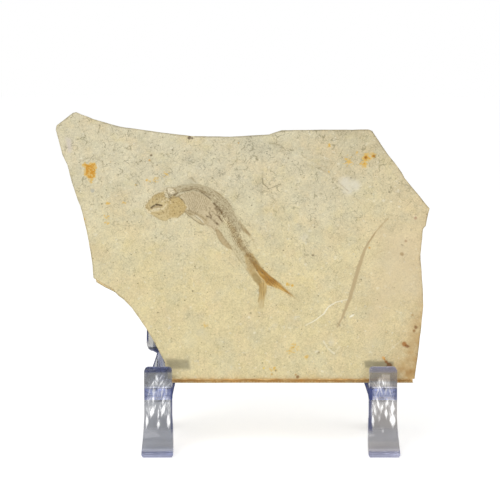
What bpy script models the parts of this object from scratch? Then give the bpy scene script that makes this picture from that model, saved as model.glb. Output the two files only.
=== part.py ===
"""A limestone slab with a fossil fish, leaning in a clear two-part display easel.

Units are metres, +Z is up and the front of the slab faces -Y. Sizes are written in
millimetres and multiplied by MM. The whole stands on its four feet, and the origin is
under the middle of its bounding box, on the table.

Slab points are (x, v): x runs to the right and v runs up the sloping face, from the
middle of the bottom front edge.
"""

import math

import bmesh
import bpy
from mathutils import Matrix, Vector, noise

MM = 0.001

# Slab
LEAN = math.radians(22.0)
SLAB_THICK = 8.5
OUTLINE_STEP = 2.4
FACE_STEP = 4.2
FISH_STEP = 1.7
BACK_STEP = 7.0
SNAP = 0.45
FISH_X = (-41.0, 23.0)
FISH_V = (28.0, 84.0)
SIDE_RINGS = (1.0, 3.1, 5.4, 7.6)
SIDE_SETBACKS = (0.0, 0.6, 0.1, 0.9, 0.35)
RIM_CHIP = 0.08
RIM_WAVE = 0.14
OUTLINE_WOBBLE = 0.14
FACE_WAVE = 0.22
BACK_WAVE = 0.8
SIDE_WAVE = 0.9

# Fish relief on the face
BODY_RISE = 0.38
TAIL_RISE = 0.22
EDGE_BLEND = 1.1

# Easel half: one moulded piece, seen from the side as (y, z) from the lip's front
SHELF_TOP = 24.8
SHELF_THICK = 3.6
SHELF_DEPTH = 32.0
LIP_RISE = 8.9
LIP_THICK = 3.6
LEG_THICK = 4.2
STRAP_WIDTH = 10.8
TOE_WIDTH = 12.3
TOE_REACH = 9.0
TOE_THICK = 1.7
PLATE_THICK = 3.0
PLATE_TOP = 62.0
WAIST_AT = 12.6
WAIST_HALF = 1.1
RIB_THICK = 2.2
REAR_FOOT_Y = 52.5
REAR_PAD_WIDTH = 4.6
REAR_PAD_THICK = 2.0
KNEE_RADIUS = 3.5
NOOK_RADIUS = 1.0
LIP_CORNER = 1.7
PADDLE_CORNER = 2.6
INSTEP = ((-7.0, 2.9), (-4.4, 4.9), (-2.2, 7.6), (-0.7, 11.0), (0.0, 15.0))
SOLE = ((3.9, 12.0), (2.9, 8.0), (1.0, 4.6), (-1.4, 2.0), (-4.0, 0.4), (-5.2, 0.0))
STEM_SIDE = ((5.0, -1.6), (4.4, 1.6), (3.4, 5.0), (2.3, 8.4), (1.5, 11.0))
RIB_REAR = (
    (37.4, 77.0),
    (38.5, 69.0),
    (39.4, 59.0),
    (40.8, 47.0),
    (43.0, 34.0),
    (46.2, 20.0),
    (49.6, 8.0),
)
RIB_ARCH = ((38.0, 0.0), (37.2, 6.0), (35.4, 11.5), (32.2, 16.4), (27.8, 20.0))
GAP = 0.3
SLAB_Y = LIP_THICK + 0.5
EASEL_X = {"easel_left": -32.9, "easel_right": 55.0}
ARC_STEPS = 5

STONE = (0.62, 0.53, 0.36, 1.0)
CLEAR = (0.75, 0.79, 0.9, 1.0)

LEFT_EDGE = (
    (-60.0, 45.8),
    (-60.9, 51.6),
    (-63.3, 62.7),
    (-65.4, 70.5),
    (-66.6, 73.3),
    (-68.9, 79.9),
    (-71.2, 88.1),
    (-73.3, 92.4),
    (-76.3, 103.2),
)
TOP_EDGE = (
    (-76.0, 105.2),
    (-69.4, 110.7),
    (-68.0, 111.0),
    (-61.1, 108.0),
    (-50.0, 104.7),
    (-37.7, 102.9),
    (-20.9, 100.7),
    (-5.1, 100.4),
    (10.7, 101.3),
    (16.0, 103.2),
    (51.3, 103.5),
)
RIGHT_EDGE = (
    (52.9, 102.9),
    (59.2, 92.7),
    (64.7, 84.9),
    (65.7, 82.7),
    (75.5, 69.8),
    (73.7, 62.4),
    (72.6, 61.3),
    (72.2, 57.0),
    (71.3, 50.7),
    (71.8, 38.5),
    (71.9, 29.7),
    (71.2, 23.8),
    (69.5, 11.3),
    (67.7, 0.0),
)
BITE = (
    (-29.4, 0.0),
    (-30.6, 6.6),
    (-34.1, 13.3),
    (-38.5, 20.8),
    (-45.1, 30.2),
    (-51.7, 36.2),
    (-59.5, 40.8),
)

# The fish lies along these (x, v, half width) stations, snout first.
BODY = (
    (-38.6, 70.0, 1.2),
    (-36.4, 71.2, 3.6),
    (-32.7, 71.2, 6.0),
    (-28.2, 71.8, 6.5),
    (-23.0, 72.6, 7.1),
    (-17.5, 72.0, 7.4),
    (-12.0, 69.7, 7.2),
    (-6.9, 63.9, 5.7),
    (-3.7, 58.0, 4.6),
    (-0.6, 52.6, 3.9),
    (2.3, 48.0, 3.0),
    (5.2, 43.7, 2.8),
    (7.8, 40.4, 2.7),
)
TAIL_LOBES = (
    ((8.6, 40.6, 2.2), (14.0, 37.8, 1.6), (20.4, 33.0, 0.6)),
    ((7.8, 39.4, 2.2), (8.0, 34.2, 1.6), (7.2, 29.4, 1.2)),
)


def lean_point(x, v, w):
    """The place, in mm, of a slab point that is w in front of the sloping face."""
    foot_z = SHELF_TOP + GAP + SLAB_THICK * math.sin(LEAN)
    y = SLAB_Y + v * math.sin(LEAN) - w * math.cos(LEAN)
    z = foot_z + v * math.cos(LEAN) + w * math.sin(LEAN)
    return Vector((x, y, z))


def arc(centre, radius, start, end, steps=ARC_STEPS):
    """Points on a circle from one angle to another, in degrees."""
    angles = [math.radians(start + (end - start) * i / steps) for i in range(steps + 1)]
    return [(centre[0] + radius * math.cos(a), centre[1] + radius * math.sin(a)) for a in angles]


def prism(points, place, depth):
    """A bmesh solid: a flat outline placed by `place` and carried along `depth`."""
    bm = bmesh.new()
    face = bm.faces.new([bm.verts.new(place(a, b)) for a, b in points])
    grown = bmesh.ops.extrude_face_region(bm, geom=[face])
    moved = [item for item in grown["geom"] if isinstance(item, bmesh.types.BMVert)]
    bmesh.ops.translate(bm, verts=moved, vec=depth)
    bmesh.ops.recalc_face_normals(bm, faces=bm.faces)
    return bm


def new_object(name, bm):
    """A mesh object in metres from a bmesh in mm."""
    bmesh.ops.scale(bm, vec=(MM, MM, MM), verts=bm.verts)
    mesh = bpy.data.meshes.new(name)
    bm.to_mesh(mesh)
    bm.free()
    obj = bpy.data.objects.new(name, mesh)
    bpy.context.scene.collection.objects.link(obj)
    return obj


def combine(target, helper, operation):
    """Join a helper into the target, or keep what they share, and drop the helper."""
    boolean = target.modifiers.new(operation.title(), "BOOLEAN")
    boolean.operation = operation
    boolean.object = helper
    boolean.solver = "EXACT"
    graph = bpy.context.evaluated_depsgraph_get()
    result = bpy.data.meshes.new_from_object(target.evaluated_get(graph))
    target.modifiers.clear()
    target.data = result
    bpy.data.objects.remove(helper)


def material(name, colour, roughness, transmission=0.0):
    """A Principled material."""
    made = bpy.data.materials.new(name)
    made.use_nodes = True
    shader = made.node_tree.nodes["Principled BSDF"]
    shader.inputs["Base Color"].default_value = colour
    shader.inputs["Roughness"].default_value = roughness
    shader.inputs["Metallic"].default_value = 0.0
    shader.inputs["Transmission Weight"].default_value = transmission
    return made


def smooth_step(value):
    """0 to 1 with soft ends."""
    value = min(1.0, max(0.0, value))
    return value * value * (3.0 - 2.0 * value)


def chain_distance(x, v, stations):
    """How far a face point lies outside a chain of round stations, negative inside."""
    best = 1000.0
    point = Vector((x, v))
    for first, second in zip(stations, stations[1:]):
        start = Vector(first[:2])
        run = Vector(second[:2]) - start
        share = min(1.0, max(0.0, (point - start).dot(run) / run.length_squared))
        radius = first[2] + (second[2] - first[2]) * share
        best = min(best, (point - start - run * share).length - radius)
    return best


def fish_rise(x, v):
    """Height of the fish above the face at a face point."""
    body = smooth_step(0.5 - chain_distance(x, v, BODY) / EDGE_BLEND)
    tail = max(smooth_step(0.5 - chain_distance(x, v, lobe) / EDGE_BLEND) for lobe in TAIL_LOBES)
    return max(BODY_RISE * body, TAIL_RISE * tail)


def wave(x, v, w, size, seed):
    """Smooth noise from -1 to 1 with features about `size` mm across."""
    return noise.noise(Vector((x / size + seed, v / size - seed, w / size + 2.0 * seed)))


def broken_outline():
    """The slab's outline, anticlockwise from the bottom right, in short uneven steps."""
    corners = RIGHT_EDGE[::-1] + TOP_EDGE[::-1] + LEFT_EDGE[::-1] + BITE[::-1]
    points = []
    for first, second in zip(corners, corners[1:] + corners[:1]):
        start, run = Vector(first), Vector(second) - Vector(first)
        count = max(1, round(run.length / OUTLINE_STEP))
        across = Vector((run.y, -run.x)).normalized()
        on_bottom = first[1] < 0.01 and second[1] < 0.01
        for i in range(count):
            place = start + run * i / count
            if i and not on_bottom:
                place += across * OUTLINE_WOBBLE * wave(place.x, place.y, 0.0, 4.0, 3.7)
            points.append((place.x, place.y))
    return points


def cut_lines(bm, faces_of, axis, stops):
    """Cut the faces that `faces_of` picks along each line across one axis."""
    normal = Vector((axis == 0, axis == 1, 0))
    for stop in stops:
        faces = faces_of(bm)
        edges = {edge for face in faces for edge in face.edges}
        verts = {vert for face in faces for vert in face.verts}
        bmesh.ops.bisect_plane(
            bm,
            geom=list(verts) + list(edges) + list(faces),
            plane_co=normal * stop,
            plane_no=normal,
            dist=SNAP,
        )


def stops_between(low, high, fine, fine_step, coarse_step):
    """Line places from low to high, closer together inside the fine range."""
    stops = []
    place = low + coarse_step / 2.0
    while place < high:
        stops.append(place)
        place += fine_step if fine[0] <= place <= fine[1] else coarse_step
    return stops


def front_faces(bm):
    """The faces on the sloping front."""
    return [face for face in bm.faces if all(abs(vert.co.z) < 0.001 for vert in face.verts)]


def back_faces(bm):
    """The faces on the back."""
    return [face for face in bm.faces if all(vert.co.z < 0.001 - SLAB_THICK for vert in face.verts)]


def slab_blank():
    """The outline as a flat slab at z = 0 and below, with rings around its edge."""
    bm = bmesh.new()
    face = bm.faces.new([bm.verts.new((x, v, 0.0)) for x, v in broken_outline()])
    bm.normal_update()
    if face.normal.z < 0.0:
        face.normal_flip()
    last = face
    for depth in SIDE_RINGS + (SLAB_THICK,):
        whole_face = [last] + list(last.edges) + list(last.verts)
        grown = bmesh.ops.extrude_face_region(bm, geom=whole_face)
        last = next(item for item in grown["geom"] if isinstance(item, bmesh.types.BMFace))
        for vert in last.verts:
            vert.co.z = -depth
    bmesh.ops.recalc_face_normals(bm, faces=bm.faces)
    whole = (-80.0, 80.0)
    cut_lines(bm, front_faces, 0, stops_between(*whole, FISH_X, FISH_STEP, FACE_STEP))
    cut_lines(bm, front_faces, 1, stops_between(0.0, 112.0, FISH_V, FISH_STEP, FACE_STEP))
    cut_lines(bm, back_faces, 0, stops_between(*whole, whole, BACK_STEP, BACK_STEP))
    cut_lines(bm, back_faces, 1, stops_between(0.0, 112.0, whole, BACK_STEP, BACK_STEP))
    return bm


def inward_normals(bm):
    """For each vertex on the edge of the slab, the flat direction into the stone."""
    bm.normal_update()
    inward = {}
    for vert in bm.verts:
        sides = [face.normal for face in vert.link_faces if abs(face.normal.z) < 0.5]
        if sides:
            flat = sum(sides, Vector())
            inward[vert] = -Vector((flat.x, flat.y, 0.0)).normalized()
    return inward


def weather(bm):
    """Shape the flat blank: the fish, the uneven faces and the broken edge."""
    inward = inward_normals(bm)
    rings = SIDE_RINGS + (SLAB_THICK,)
    setbacks = dict(zip((round(depth, 2) for depth in rings), SIDE_SETBACKS))
    for vert in bm.verts:
        x, v, w = vert.co
        depth = round(-w, 2)
        if depth == 0.0:
            vert.co.z += fish_rise(x, v) - FACE_WAVE * (1.0 + wave(x, v, 0.0, 17.0, 1.3))
        elif depth == round(SLAB_THICK, 2):
            vert.co.z += BACK_WAVE * (0.5 + 0.5 * wave(x, v, 0.0, 24.0, 5.1))
        if vert in inward:
            chip = RIM_CHIP if depth == 0.0 else setbacks[depth]
            depth_wave = RIM_WAVE if depth == 0.0 else SIDE_WAVE
            rough = depth_wave * (0.5 + 0.5 * wave(x, v, w, 5.0, 7.9))
            resting = v < 0.5 and depth == round(SLAB_THICK, 2)
            vert.co += inward[vert] * (0.0 if resting else chip + rough)


def make_slab():
    """The stone slab with its fish, leaning back on the shelves."""
    bm = slab_blank()
    weather(bm)
    bmesh.ops.triangulate(bm, faces=bm.faces)
    for vert in bm.verts:
        vert.co = lean_point(*vert.co)
    slab = new_object("slab", bm)
    slab.data.materials.append(material("limestone", STONE, 0.85))
    return slab


def strap_profile():
    """Side outline of the lip, shelf, front leg and toe."""
    lip_top = SHELF_TOP + LIP_RISE
    crown = LIP_THICK / 2.0
    under = SHELF_TOP - SHELF_THICK
    tail = SHELF_THICK / 2.0
    points = [(-TOE_REACH, 0.0), (-TOE_REACH, TOE_THICK), *INSTEP]
    points += arc((crown, lip_top - crown), crown, 180.0, 0.0, 2 * ARC_STEPS)
    nook = NOOK_RADIUS
    points += arc((LIP_THICK + nook, SHELF_TOP + nook), nook, 180.0, 270.0)
    points += arc((SHELF_DEPTH - tail, under + tail), tail, 90.0, -90.0, 2 * ARC_STEPS)
    knee = KNEE_RADIUS
    points += arc((LEG_THICK + knee, under - knee), knee, 90.0, 180.0)
    return points + list(SOLE)


def strap_front():
    """Front outline of the strap: rounded lip corners and a flared toe."""
    top = SHELF_TOP + LIP_RISE
    half = STRAP_WIDTH / 2.0
    toe = TOE_WIDTH / 2.0
    right = [(toe - 0.8, -0.5), (toe, 0.9), (toe - 0.1, 4.0), (half + 0.3, 9.0), (half, 14.0)]
    right += arc((half - LIP_CORNER, top - LIP_CORNER), LIP_CORNER, 0.0, 90.0)
    return right + [(-x, z) for x, z in reversed(right)]


def plate_front():
    """Front outline of the back rest: a waisted stem under a round-ended paddle."""
    half = STRAP_WIDTH / 2.0
    low = PADDLE_CORNER
    right = [*STEM_SIDE, (WAIST_HALF, WAIST_AT)]
    right += arc((half - low, WAIST_AT + 1.0 + low), low, -90.0, 0.0)
    right += arc((0.0, PLATE_TOP - half), half, 0.0, 90.0, 2 * ARC_STEPS)[:-1]
    return right + [(0.0, PLATE_TOP)] + [(-x, s) for x, s in reversed(right)]


def rib_profile():
    """Side outline of the rib behind the back rest, which runs down to the rear foot."""
    front = [lean_point(0.0, v, -SLAB_THICK - 1.6) for v in (-1.5, 20.0, 40.0, 57.5)]
    points = [(place.y, place.z) for place in front]
    points += [*RIB_REAR, (REAR_FOOT_Y, REAR_PAD_THICK), (REAR_FOOT_Y, 0.0)]
    return points + [*RIB_ARCH, (22.0, SHELF_TOP - SHELF_THICK + 0.6)]


def make_easel_half(name, centre):
    """One clear moulded half of the easel, standing on its toe and its rear foot."""
    side = STRAP_WIDTH
    strap = prism(strap_profile(), lambda y, z: Vector((-side, y, z)), (2 * side, 0, 0))
    half = new_object(name, strap)
    front = prism(strap_front(), lambda x, z: Vector((x, -20.0, z)), (0, 80.0, 0))
    combine(half, new_object("strap_front", front), "INTERSECT")
    plate = prism(
        plate_front(),
        lambda x, v: lean_point(x, v, -SLAB_THICK - GAP),
        lean_point(0, 0, -PLATE_THICK) - lean_point(0, 0, 0),
    )
    combine(half, new_object("plate", plate), "UNION")
    thin = RIB_THICK / 2.0
    rib = prism(rib_profile(), lambda y, z: Vector((-thin, y, z)), (2 * thin, 0, 0))
    combine(half, new_object("rib", rib), "UNION")
    wide = REAR_PAD_WIDTH / 2.0
    pad_side = [(38.2, 0.0), (REAR_FOOT_Y, 0.0), (REAR_FOOT_Y, REAR_PAD_THICK), (37.8, REAR_PAD_THICK)]
    pad = prism(pad_side, lambda y, z: Vector((-wide, y, z)), (2 * wide, 0, 0))
    combine(half, new_object("rear_pad", pad), "UNION")
    half.data.transform(Matrix.Translation((centre * MM, 0, 0)))
    half.data.materials.append(material(name + "_plastic", CLEAR, 0.08, 1.0))
    return half


def centre_on_origin(objects):
    """Move every mesh so that the whole stands on z = 0 around the origin."""
    points = [vert.co for obj in objects for vert in obj.data.vertices]
    low = Vector(min(point[axis] for point in points) for axis in range(3))
    high = Vector(max(point[axis] for point in points) for axis in range(3))
    middle = (low + high) / 2.0
    for obj in objects:
        obj.data.transform(Matrix.Translation((-middle.x, -middle.y, -low.z)))


def main():
    for obj in list(bpy.data.objects):
        bpy.data.objects.remove(obj)
    parts = [make_slab()]
    for name, centre in EASEL_X.items():
        parts.append(make_easel_half(name, centre))
    centre_on_origin(parts)


main()
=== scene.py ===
"""The looks of a limestone slab with a fossil fish, standing in a clear two-part easel.

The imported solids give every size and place. The slab's solid is copied, split finely
and given its relief and colours, and each easel half gets rounded edges and a clear
finish. Places on the sloping face are (x, v, w) in millimetres: x to the right, v up
the slope from the middle of the bottom front edge, w out of the face.
"""

from __future__ import annotations

import logging
import math
from collections.abc import Sequence
from dataclasses import dataclass, field, replace
from enum import Enum
from typing import Any

import bmesh
import bpy
import numpy as np
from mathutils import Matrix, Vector, noise

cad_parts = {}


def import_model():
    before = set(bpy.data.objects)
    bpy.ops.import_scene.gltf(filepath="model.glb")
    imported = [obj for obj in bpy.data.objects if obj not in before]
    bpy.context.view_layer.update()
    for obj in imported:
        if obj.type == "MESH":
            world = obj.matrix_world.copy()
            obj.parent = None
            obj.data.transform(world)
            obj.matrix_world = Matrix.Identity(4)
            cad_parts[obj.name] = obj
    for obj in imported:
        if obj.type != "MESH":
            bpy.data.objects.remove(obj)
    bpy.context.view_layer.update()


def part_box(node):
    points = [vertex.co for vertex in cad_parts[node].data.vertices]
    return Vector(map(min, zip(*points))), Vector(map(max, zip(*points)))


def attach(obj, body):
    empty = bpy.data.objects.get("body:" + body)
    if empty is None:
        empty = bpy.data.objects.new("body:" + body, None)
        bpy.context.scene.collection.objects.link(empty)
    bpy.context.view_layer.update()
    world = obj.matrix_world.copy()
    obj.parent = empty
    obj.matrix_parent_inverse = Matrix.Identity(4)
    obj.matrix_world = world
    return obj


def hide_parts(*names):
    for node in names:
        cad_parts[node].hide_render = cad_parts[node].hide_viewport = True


LOG = logging.getLogger("fossil_slab")
MM = 0.001
Rgb = tuple[float, float, float]
Flat = Sequence[float]
Rows = Sequence[Flat]
Points = Sequence[tuple[float, float]]
Stations = Sequence[tuple[float, float, float]]
Spots = Sequence[tuple[float, float, float, float]]


def linear(colour: Rgb) -> Rgb:
    """Scene-linear values of an 8-bit display colour."""
    parts = [part / 255.0 for part in colour]
    return tuple(p / 12.92 if p <= 0.04045 else ((p + 0.055) / 1.055) ** 2.4 for p in parts)


def smooth_step(value: np.ndarray) -> np.ndarray:
    """0 to 1 with soft ends."""
    value = np.clip(value, 0.0, 1.0)
    return value * value * (3.0 - 2.0 * value)


def grain(places: np.ndarray, size: float, seed: float) -> np.ndarray:
    """Smooth noise from -1 to 1 at places in mm, with features about `size` mm across.

    Args:
        places: (n, 3) places.
        size: Distance over which the noise changes.
        seed: Offset that makes one field unlike another.

    Returns:
        One value for each place.
    """
    scaled = places / size + np.array((seed, -seed, 2.0 * seed))
    return np.fromiter((noise.noise(Vector(place)) for place in scaled), float, len(scaled))


def line_distance(places: np.ndarray, line: Points) -> tuple[np.ndarray, np.ndarray, np.ndarray]:
    """Distance from a run of straight pieces.

    Args:
        places: (n, 2) face places.
        line: Two or more points.

    Returns:
        The distance, the length along the line to the nearest point, and the side,
        which is positive to the left of the line's direction.
    """
    nearest = np.full(len(places), 1.0e6)
    along = np.zeros(len(places))
    side = np.ones(len(places))
    passed = 0.0
    for first, second in zip(line, line[1:]):
        start = np.array(first)
        run = np.array(second) - start
        length = float(np.hypot(*run))
        offset = places - start
        share = np.clip(offset @ run / (length * length), 0.0, 1.0)
        away = offset - share[:, None] * run
        distance = np.hypot(away[:, 0], away[:, 1])
        closer = distance < nearest
        nearest = np.where(closer, distance, nearest)
        along = np.where(closer, passed + share * length, along)
        turn = run[0] * offset[:, 1] - run[1] * offset[:, 0]
        side = np.where(closer, np.where(turn >= 0.0, 1.0, -1.0), side)
        passed += length
    return nearest, along, side


def area_distance(places: np.ndarray, outline: Points) -> np.ndarray:
    """Distance from a closed outline, negative inside it."""
    distance = line_distance(places, [*outline, outline[0]])[0]
    inside = np.zeros(len(places), bool)
    x, v = places[:, 0], places[:, 1]
    for (ax, av), (bx, bv) in zip(outline, [*outline[1:], outline[0]]):
        crosses = (av > v) != (bv > v)
        if av != bv:
            inside ^= crosses & (x < (bx - ax) * (v - av) / (bv - av) + ax)
    return np.where(inside, -distance, distance)


def chain_distance(places: np.ndarray, stations: Stations) -> np.ndarray:
    """Distance from a chain of round stations (x, v, radius), negative inside it."""
    best = np.full(len(places), 1.0e6)
    for first, second in zip(stations, stations[1:]):
        start = np.array(first[:2])
        run = np.array(second[:2]) - start
        share = np.clip((places - start) @ run / (run @ run), 0.0, 1.0)
        away = places - start - share[:, None] * run
        radius = first[2] + (second[2] - first[2]) * share
        best = np.minimum(best, np.hypot(away[:, 0], away[:, 1]) - radius)
    return best


# ---------------------------------------------------------------------------
# Shader helpers


class Signal:
    """A shader socket that takes part in Python arithmetic."""

    def __init__(self, book: NodeBook, socket: bpy.types.NodeSocket) -> None:
        """Keep the socket and the book that adds its nodes."""
        self.book = book
        self.socket = socket

    def maths(self, operation: str, *values: Any, clamp: bool = False) -> Signal:
        """A Math node on these values."""
        sockets = dict(enumerate(values))
        made = self.book.node("ShaderNodeMath", {"operation": operation, "use_clamp": clamp}, sockets)
        return Signal(self.book, made.outputs[0])

    def __add__(self, other: Any) -> Signal:
        """Sum."""
        return self.maths("ADD", self, other)

    __radd__ = __add__

    def __sub__(self, other: Any) -> Signal:
        """Difference."""
        return self.maths("SUBTRACT", self, other)

    def __rsub__(self, other: Any) -> Signal:
        """Difference from a number."""
        return self.maths("SUBTRACT", other, self)

    def __mul__(self, other: Any) -> Signal:
        """Product."""
        return self.maths("MULTIPLY", self, other)

    __rmul__ = __mul__

    def __truediv__(self, other: Any) -> Signal:
        """Quotient."""
        return self.maths("DIVIDE", self, other)

    def __pow__(self, other: Any) -> Signal:
        """Power."""
        return self.maths("POWER", self, other)

    def absolute(self) -> Signal:
        """Distance from zero."""
        return self.maths("ABSOLUTE", self)

    def wave(self, period: float) -> Signal:
        """A wave from 0 to 1 that repeats each period of this value."""
        return self.maths("SINE", self * (math.tau / period)) * 0.5 + 0.5

    def step(self, low: float, high: float) -> Signal:
        """0 below low, 1 above high and smooth between, or falling where low is above high."""
        flipped = low > high
        made = self.book.node(
            "ShaderNodeMapRange",
            {"interpolation_type": "SMOOTHSTEP", "clamp": True},
            {
                "Value": self,
                "From Min": min(low, high),
                "From Max": max(low, high),
                "To Min": 1.0 if flipped else 0.0,
                "To Max": 0.0 if flipped else 1.0,
            },
        )
        return Signal(self.book, made.outputs["Result"])

    def within(self, low: float, inner_low: float, inner_high: float, high: float) -> Signal:
        """1 between the inner limits, 0 outside the outer ones."""
        return self.step(low, inner_low) * self.step(high, inner_high)


class NodeBook:
    """The nodes of one material."""

    def __init__(self, name: str) -> None:
        """Start an empty material."""
        self.material = bpy.data.materials.new(name)
        self.material.use_nodes = True
        self.tree = self.material.node_tree
        self.tree.nodes.clear()

    def node(
        self, kind: str, settings: dict[str, Any] | None = None, sockets: dict[Any, Any] | None = None
    ) -> bpy.types.Node:
        """Add a node.

        Args:
            kind: The node's type.
            settings: Properties, set first. "stops" fills a colour ramp.
            sockets: Input values or links, by name or number.

        Returns:
            The node.
        """
        made = self.tree.nodes.new(kind)
        for name, value in (settings or {}).items():
            if name == "stops":
                ramp = made.color_ramp
                while len(ramp.elements) < len(value):
                    ramp.elements.new(1.0)
                for element, (place, colour) in zip(ramp.elements, value):
                    element.position = place
                    element.color = (*colour, 1.0)
            else:
                setattr(made, name, value)
        for name, value in (sockets or {}).items():
            if isinstance(value, Signal):
                self.tree.links.new(value.socket, made.inputs[name])
            else:
                made.inputs[name].default_value = value
        return made

    def signal(self, kind: str, output: Any, settings: dict[str, Any], sockets: dict[Any, Any]) -> Signal:
        """One output of a new node."""
        return Signal(self, self.node(kind, settings, sockets).outputs[output])

    def attribute(self, name: str, output: str = "Vector") -> Signal:
        """A value kept on the mesh."""
        return self.signal("ShaderNodeAttribute", output, {"attribute_name": name}, {})

    def split(self, vector: Signal) -> tuple[Signal, Signal, Signal]:
        """The three parts of a vector."""
        made = self.node("ShaderNodeSeparateXYZ", {}, {0: vector})
        return tuple(Signal(self, output) for output in made.outputs)

    def join(self, x: Any, y: Any, z: Any) -> Signal:
        """A vector from three parts."""
        return self.signal("ShaderNodeCombineXYZ", 0, {}, {0: x, 1: y, 2: z})

    def scaled(self, vector: Signal, factors: tuple[float, float, float]) -> Signal:
        """A vector with each part multiplied."""
        return self.signal("ShaderNodeVectorMath", 0, {"operation": "MULTIPLY"}, {0: vector, 1: factors})

    def shifted(self, vector: Signal, offset: Signal | tuple[float, float, float]) -> Signal:
        """A vector with another one added."""
        return self.signal("ShaderNodeVectorMath", 0, {"operation": "ADD"}, {0: vector, 1: offset})

    def cloud(self, vector: Signal, size: float, detail: float = 2.0, rough: float = 0.5) -> Signal:
        """Noise from 0 to 1 with features about `size` mm across."""
        sockets = {"Vector": vector, "Scale": 1.0 / size, "Detail": detail, "Roughness": rough}
        return self.signal("ShaderNodeTexNoise", "Fac", {"normalize": True}, sockets)

    def cloud_colour(self, vector: Signal, size: float) -> Signal:
        """Three noises as one vector, each from 0 to 1."""
        sockets = {"Vector": vector, "Scale": 1.0 / size, "Detail": 1.0}
        return self.signal("ShaderNodeTexNoise", "Color", {"normalize": True}, sockets)

    def mix(self, share: Any, first: Any, second: Any, blend: str = "MIX") -> Signal:
        """A colour part of the way from the first to the second."""
        made = self.node(
            "ShaderNodeMix",
            {"data_type": "RGBA", "blend_type": blend, "clamp_factor": True},
            {0: share},
        )
        for index, value in ((6, first), (7, second)):
            if isinstance(value, Signal):
                self.tree.links.new(value.socket, made.inputs[index])
            else:
                made.inputs[index].default_value = (*value, 1.0)
        return Signal(self, made.outputs[2])

    def coats(self, colour: Signal, *coats: tuple[Signal, Rgb]) -> Signal:
        """A colour with coats of display colours over it, each with its share."""
        for share, tone in coats:
            colour = self.mix(share, colour, linear(tone))
        return colour

    def finish(self, shader: bpy.types.Node, volume: bpy.types.Node | None = None) -> bpy.types.Material:
        """Send the shader, and a volume if there is one, to the output."""
        output = self.node("ShaderNodeOutputMaterial")
        self.tree.links.new(shader.outputs[0], output.inputs["Surface"])
        if volume:
            self.tree.links.new(volume.outputs[0], output.inputs["Volume"])
        return self.material


# ---------------------------------------------------------------------------
# Places and marks on the sloping face


@dataclass(frozen=True)
class SlabFace:
    """Where the sloping face lies: a point (x, v, w) of it in mm against the world in metres."""

    middle: float
    foot_y: float
    foot_z: float
    lean: float = math.radians(22.0)

    @classmethod
    def from_frame(cls) -> SlabFace:
        """Read the easel's place, on which the slab stands."""
        easel_x, toe_reach, slab_y = -32.9 * MM, 9.0 * MM, 4.1 * MM
        shelf_top, gap, thick = 24.8 * MM, 0.3 * MM, 8.5 * MM
        low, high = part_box("easel_left")
        return cls(
            middle=(low.x + high.x) / 2.0 - easel_x,
            foot_y=low.y + toe_reach + slab_y,
            foot_z=low.z + shelf_top + gap + thick * math.sin(cls.lean),
        )

    def axes(self) -> np.ndarray:
        """The world directions of x, v and w as rows."""
        sine, cosine = math.sin(self.lean), math.cos(self.lean)
        return np.array(((1.0, 0.0, 0.0), (0.0, sine, cosine), (0.0, -cosine, sine)))

    def to_world(self, places: np.ndarray) -> np.ndarray:
        """World points in metres of face places in mm."""
        return places * MM @ self.axes() + (self.middle, self.foot_y, self.foot_z)

    def to_face(self, points: np.ndarray) -> np.ndarray:
        """Face places in mm of world points in metres."""
        return (points - (self.middle, self.foot_y, self.foot_z)) @ self.axes().T / MM


class Form(Enum):
    """How the points of a mark are read."""

    LINE = "line"
    AREA = "area"


@dataclass(frozen=True)
class Mark:
    """One coloured mark on the face.

    Attributes:
        form: A line, or an area inside an outline.
        points: Face places in mm. One point alone is a round spot.
        colour: 8-bit display colour.
        width: Width of a line or a spot, in mm.
        soft: Width over which the edge fades, in mm.
        strength: Cover at the middle, from 0 to 1.
        patchy: How much noise breaks the cover up, from 0 to 1.
        taper: How much narrower a line's ends are than its middle, from 0 to 1.
        rise: Height of the mark's relief in mm, negative where it is cut in.
    """

    form: Form
    points: Points
    colour: Rgb
    width: float = 0.6
    soft: float = 0.5
    strength: float = 0.8
    patchy: float = 0.0
    taper: float = 0.0
    rise: float = 0.0

    def cover(self, places: np.ndarray, patches: np.ndarray) -> np.ndarray:
        """How much of this mark each place has.

        Args:
            places: (n, 2) face places.
            patches: Noise from -1 to 1 at each place.

        Returns:
            Cover from 0 to 1.
        """
        reach = self.width + self.soft + 1.0
        corners = np.array(self.points)
        low, high = corners.min(axis=0) - reach, corners.max(axis=0) + reach
        near = np.flatnonzero(((places > low) & (places < high)).all(axis=1))
        result = np.zeros(len(places))
        if not len(near):
            return result
        spots = places[near]
        if self.form is Form.AREA:
            outside = area_distance(spots, self.points)
        elif len(self.points) == 1:
            outside = np.hypot(*(spots - corners[0]).T) - self.width / 2.0
        else:
            distance, along, _ = line_distance(spots, self.points)
            whole = float(np.hypot(*np.diff(corners, axis=0).T).sum())
            bulge = 1.0 - self.taper * (2.0 * along / whole - 1.0) ** 2
            outside = distance - self.width / 2.0 * bulge
        shown = smooth_step(0.5 - outside / self.soft)
        shown *= np.clip(1.0 - self.patchy * (0.5 - 0.9 * patches[near]), 0.0, 1.0)
        result[near] = self.strength * shown
        return result


Marks = Sequence[Mark]


def line(
    colour: Rgb, width: float, strength: float, soft: float, patchy: float, *flat: float, **more: float
) -> Mark:
    """A line mark, or a round spot, through places given as x, v, x, v and so on."""
    points = tuple(zip(flat[::2], flat[1::2]))
    return Mark(Form.LINE, points, colour, width, soft, strength, patchy, **more)


def area(colour: Rgb, strength: float, soft: float, patchy: float, *flat: float, **more: float) -> Mark:
    """An area mark inside an outline given as x, v, x, v and so on."""
    edge = line(colour, 0.6, strength, soft, patchy, *flat, **more)
    return replace(edge, form=Form.AREA)


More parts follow.
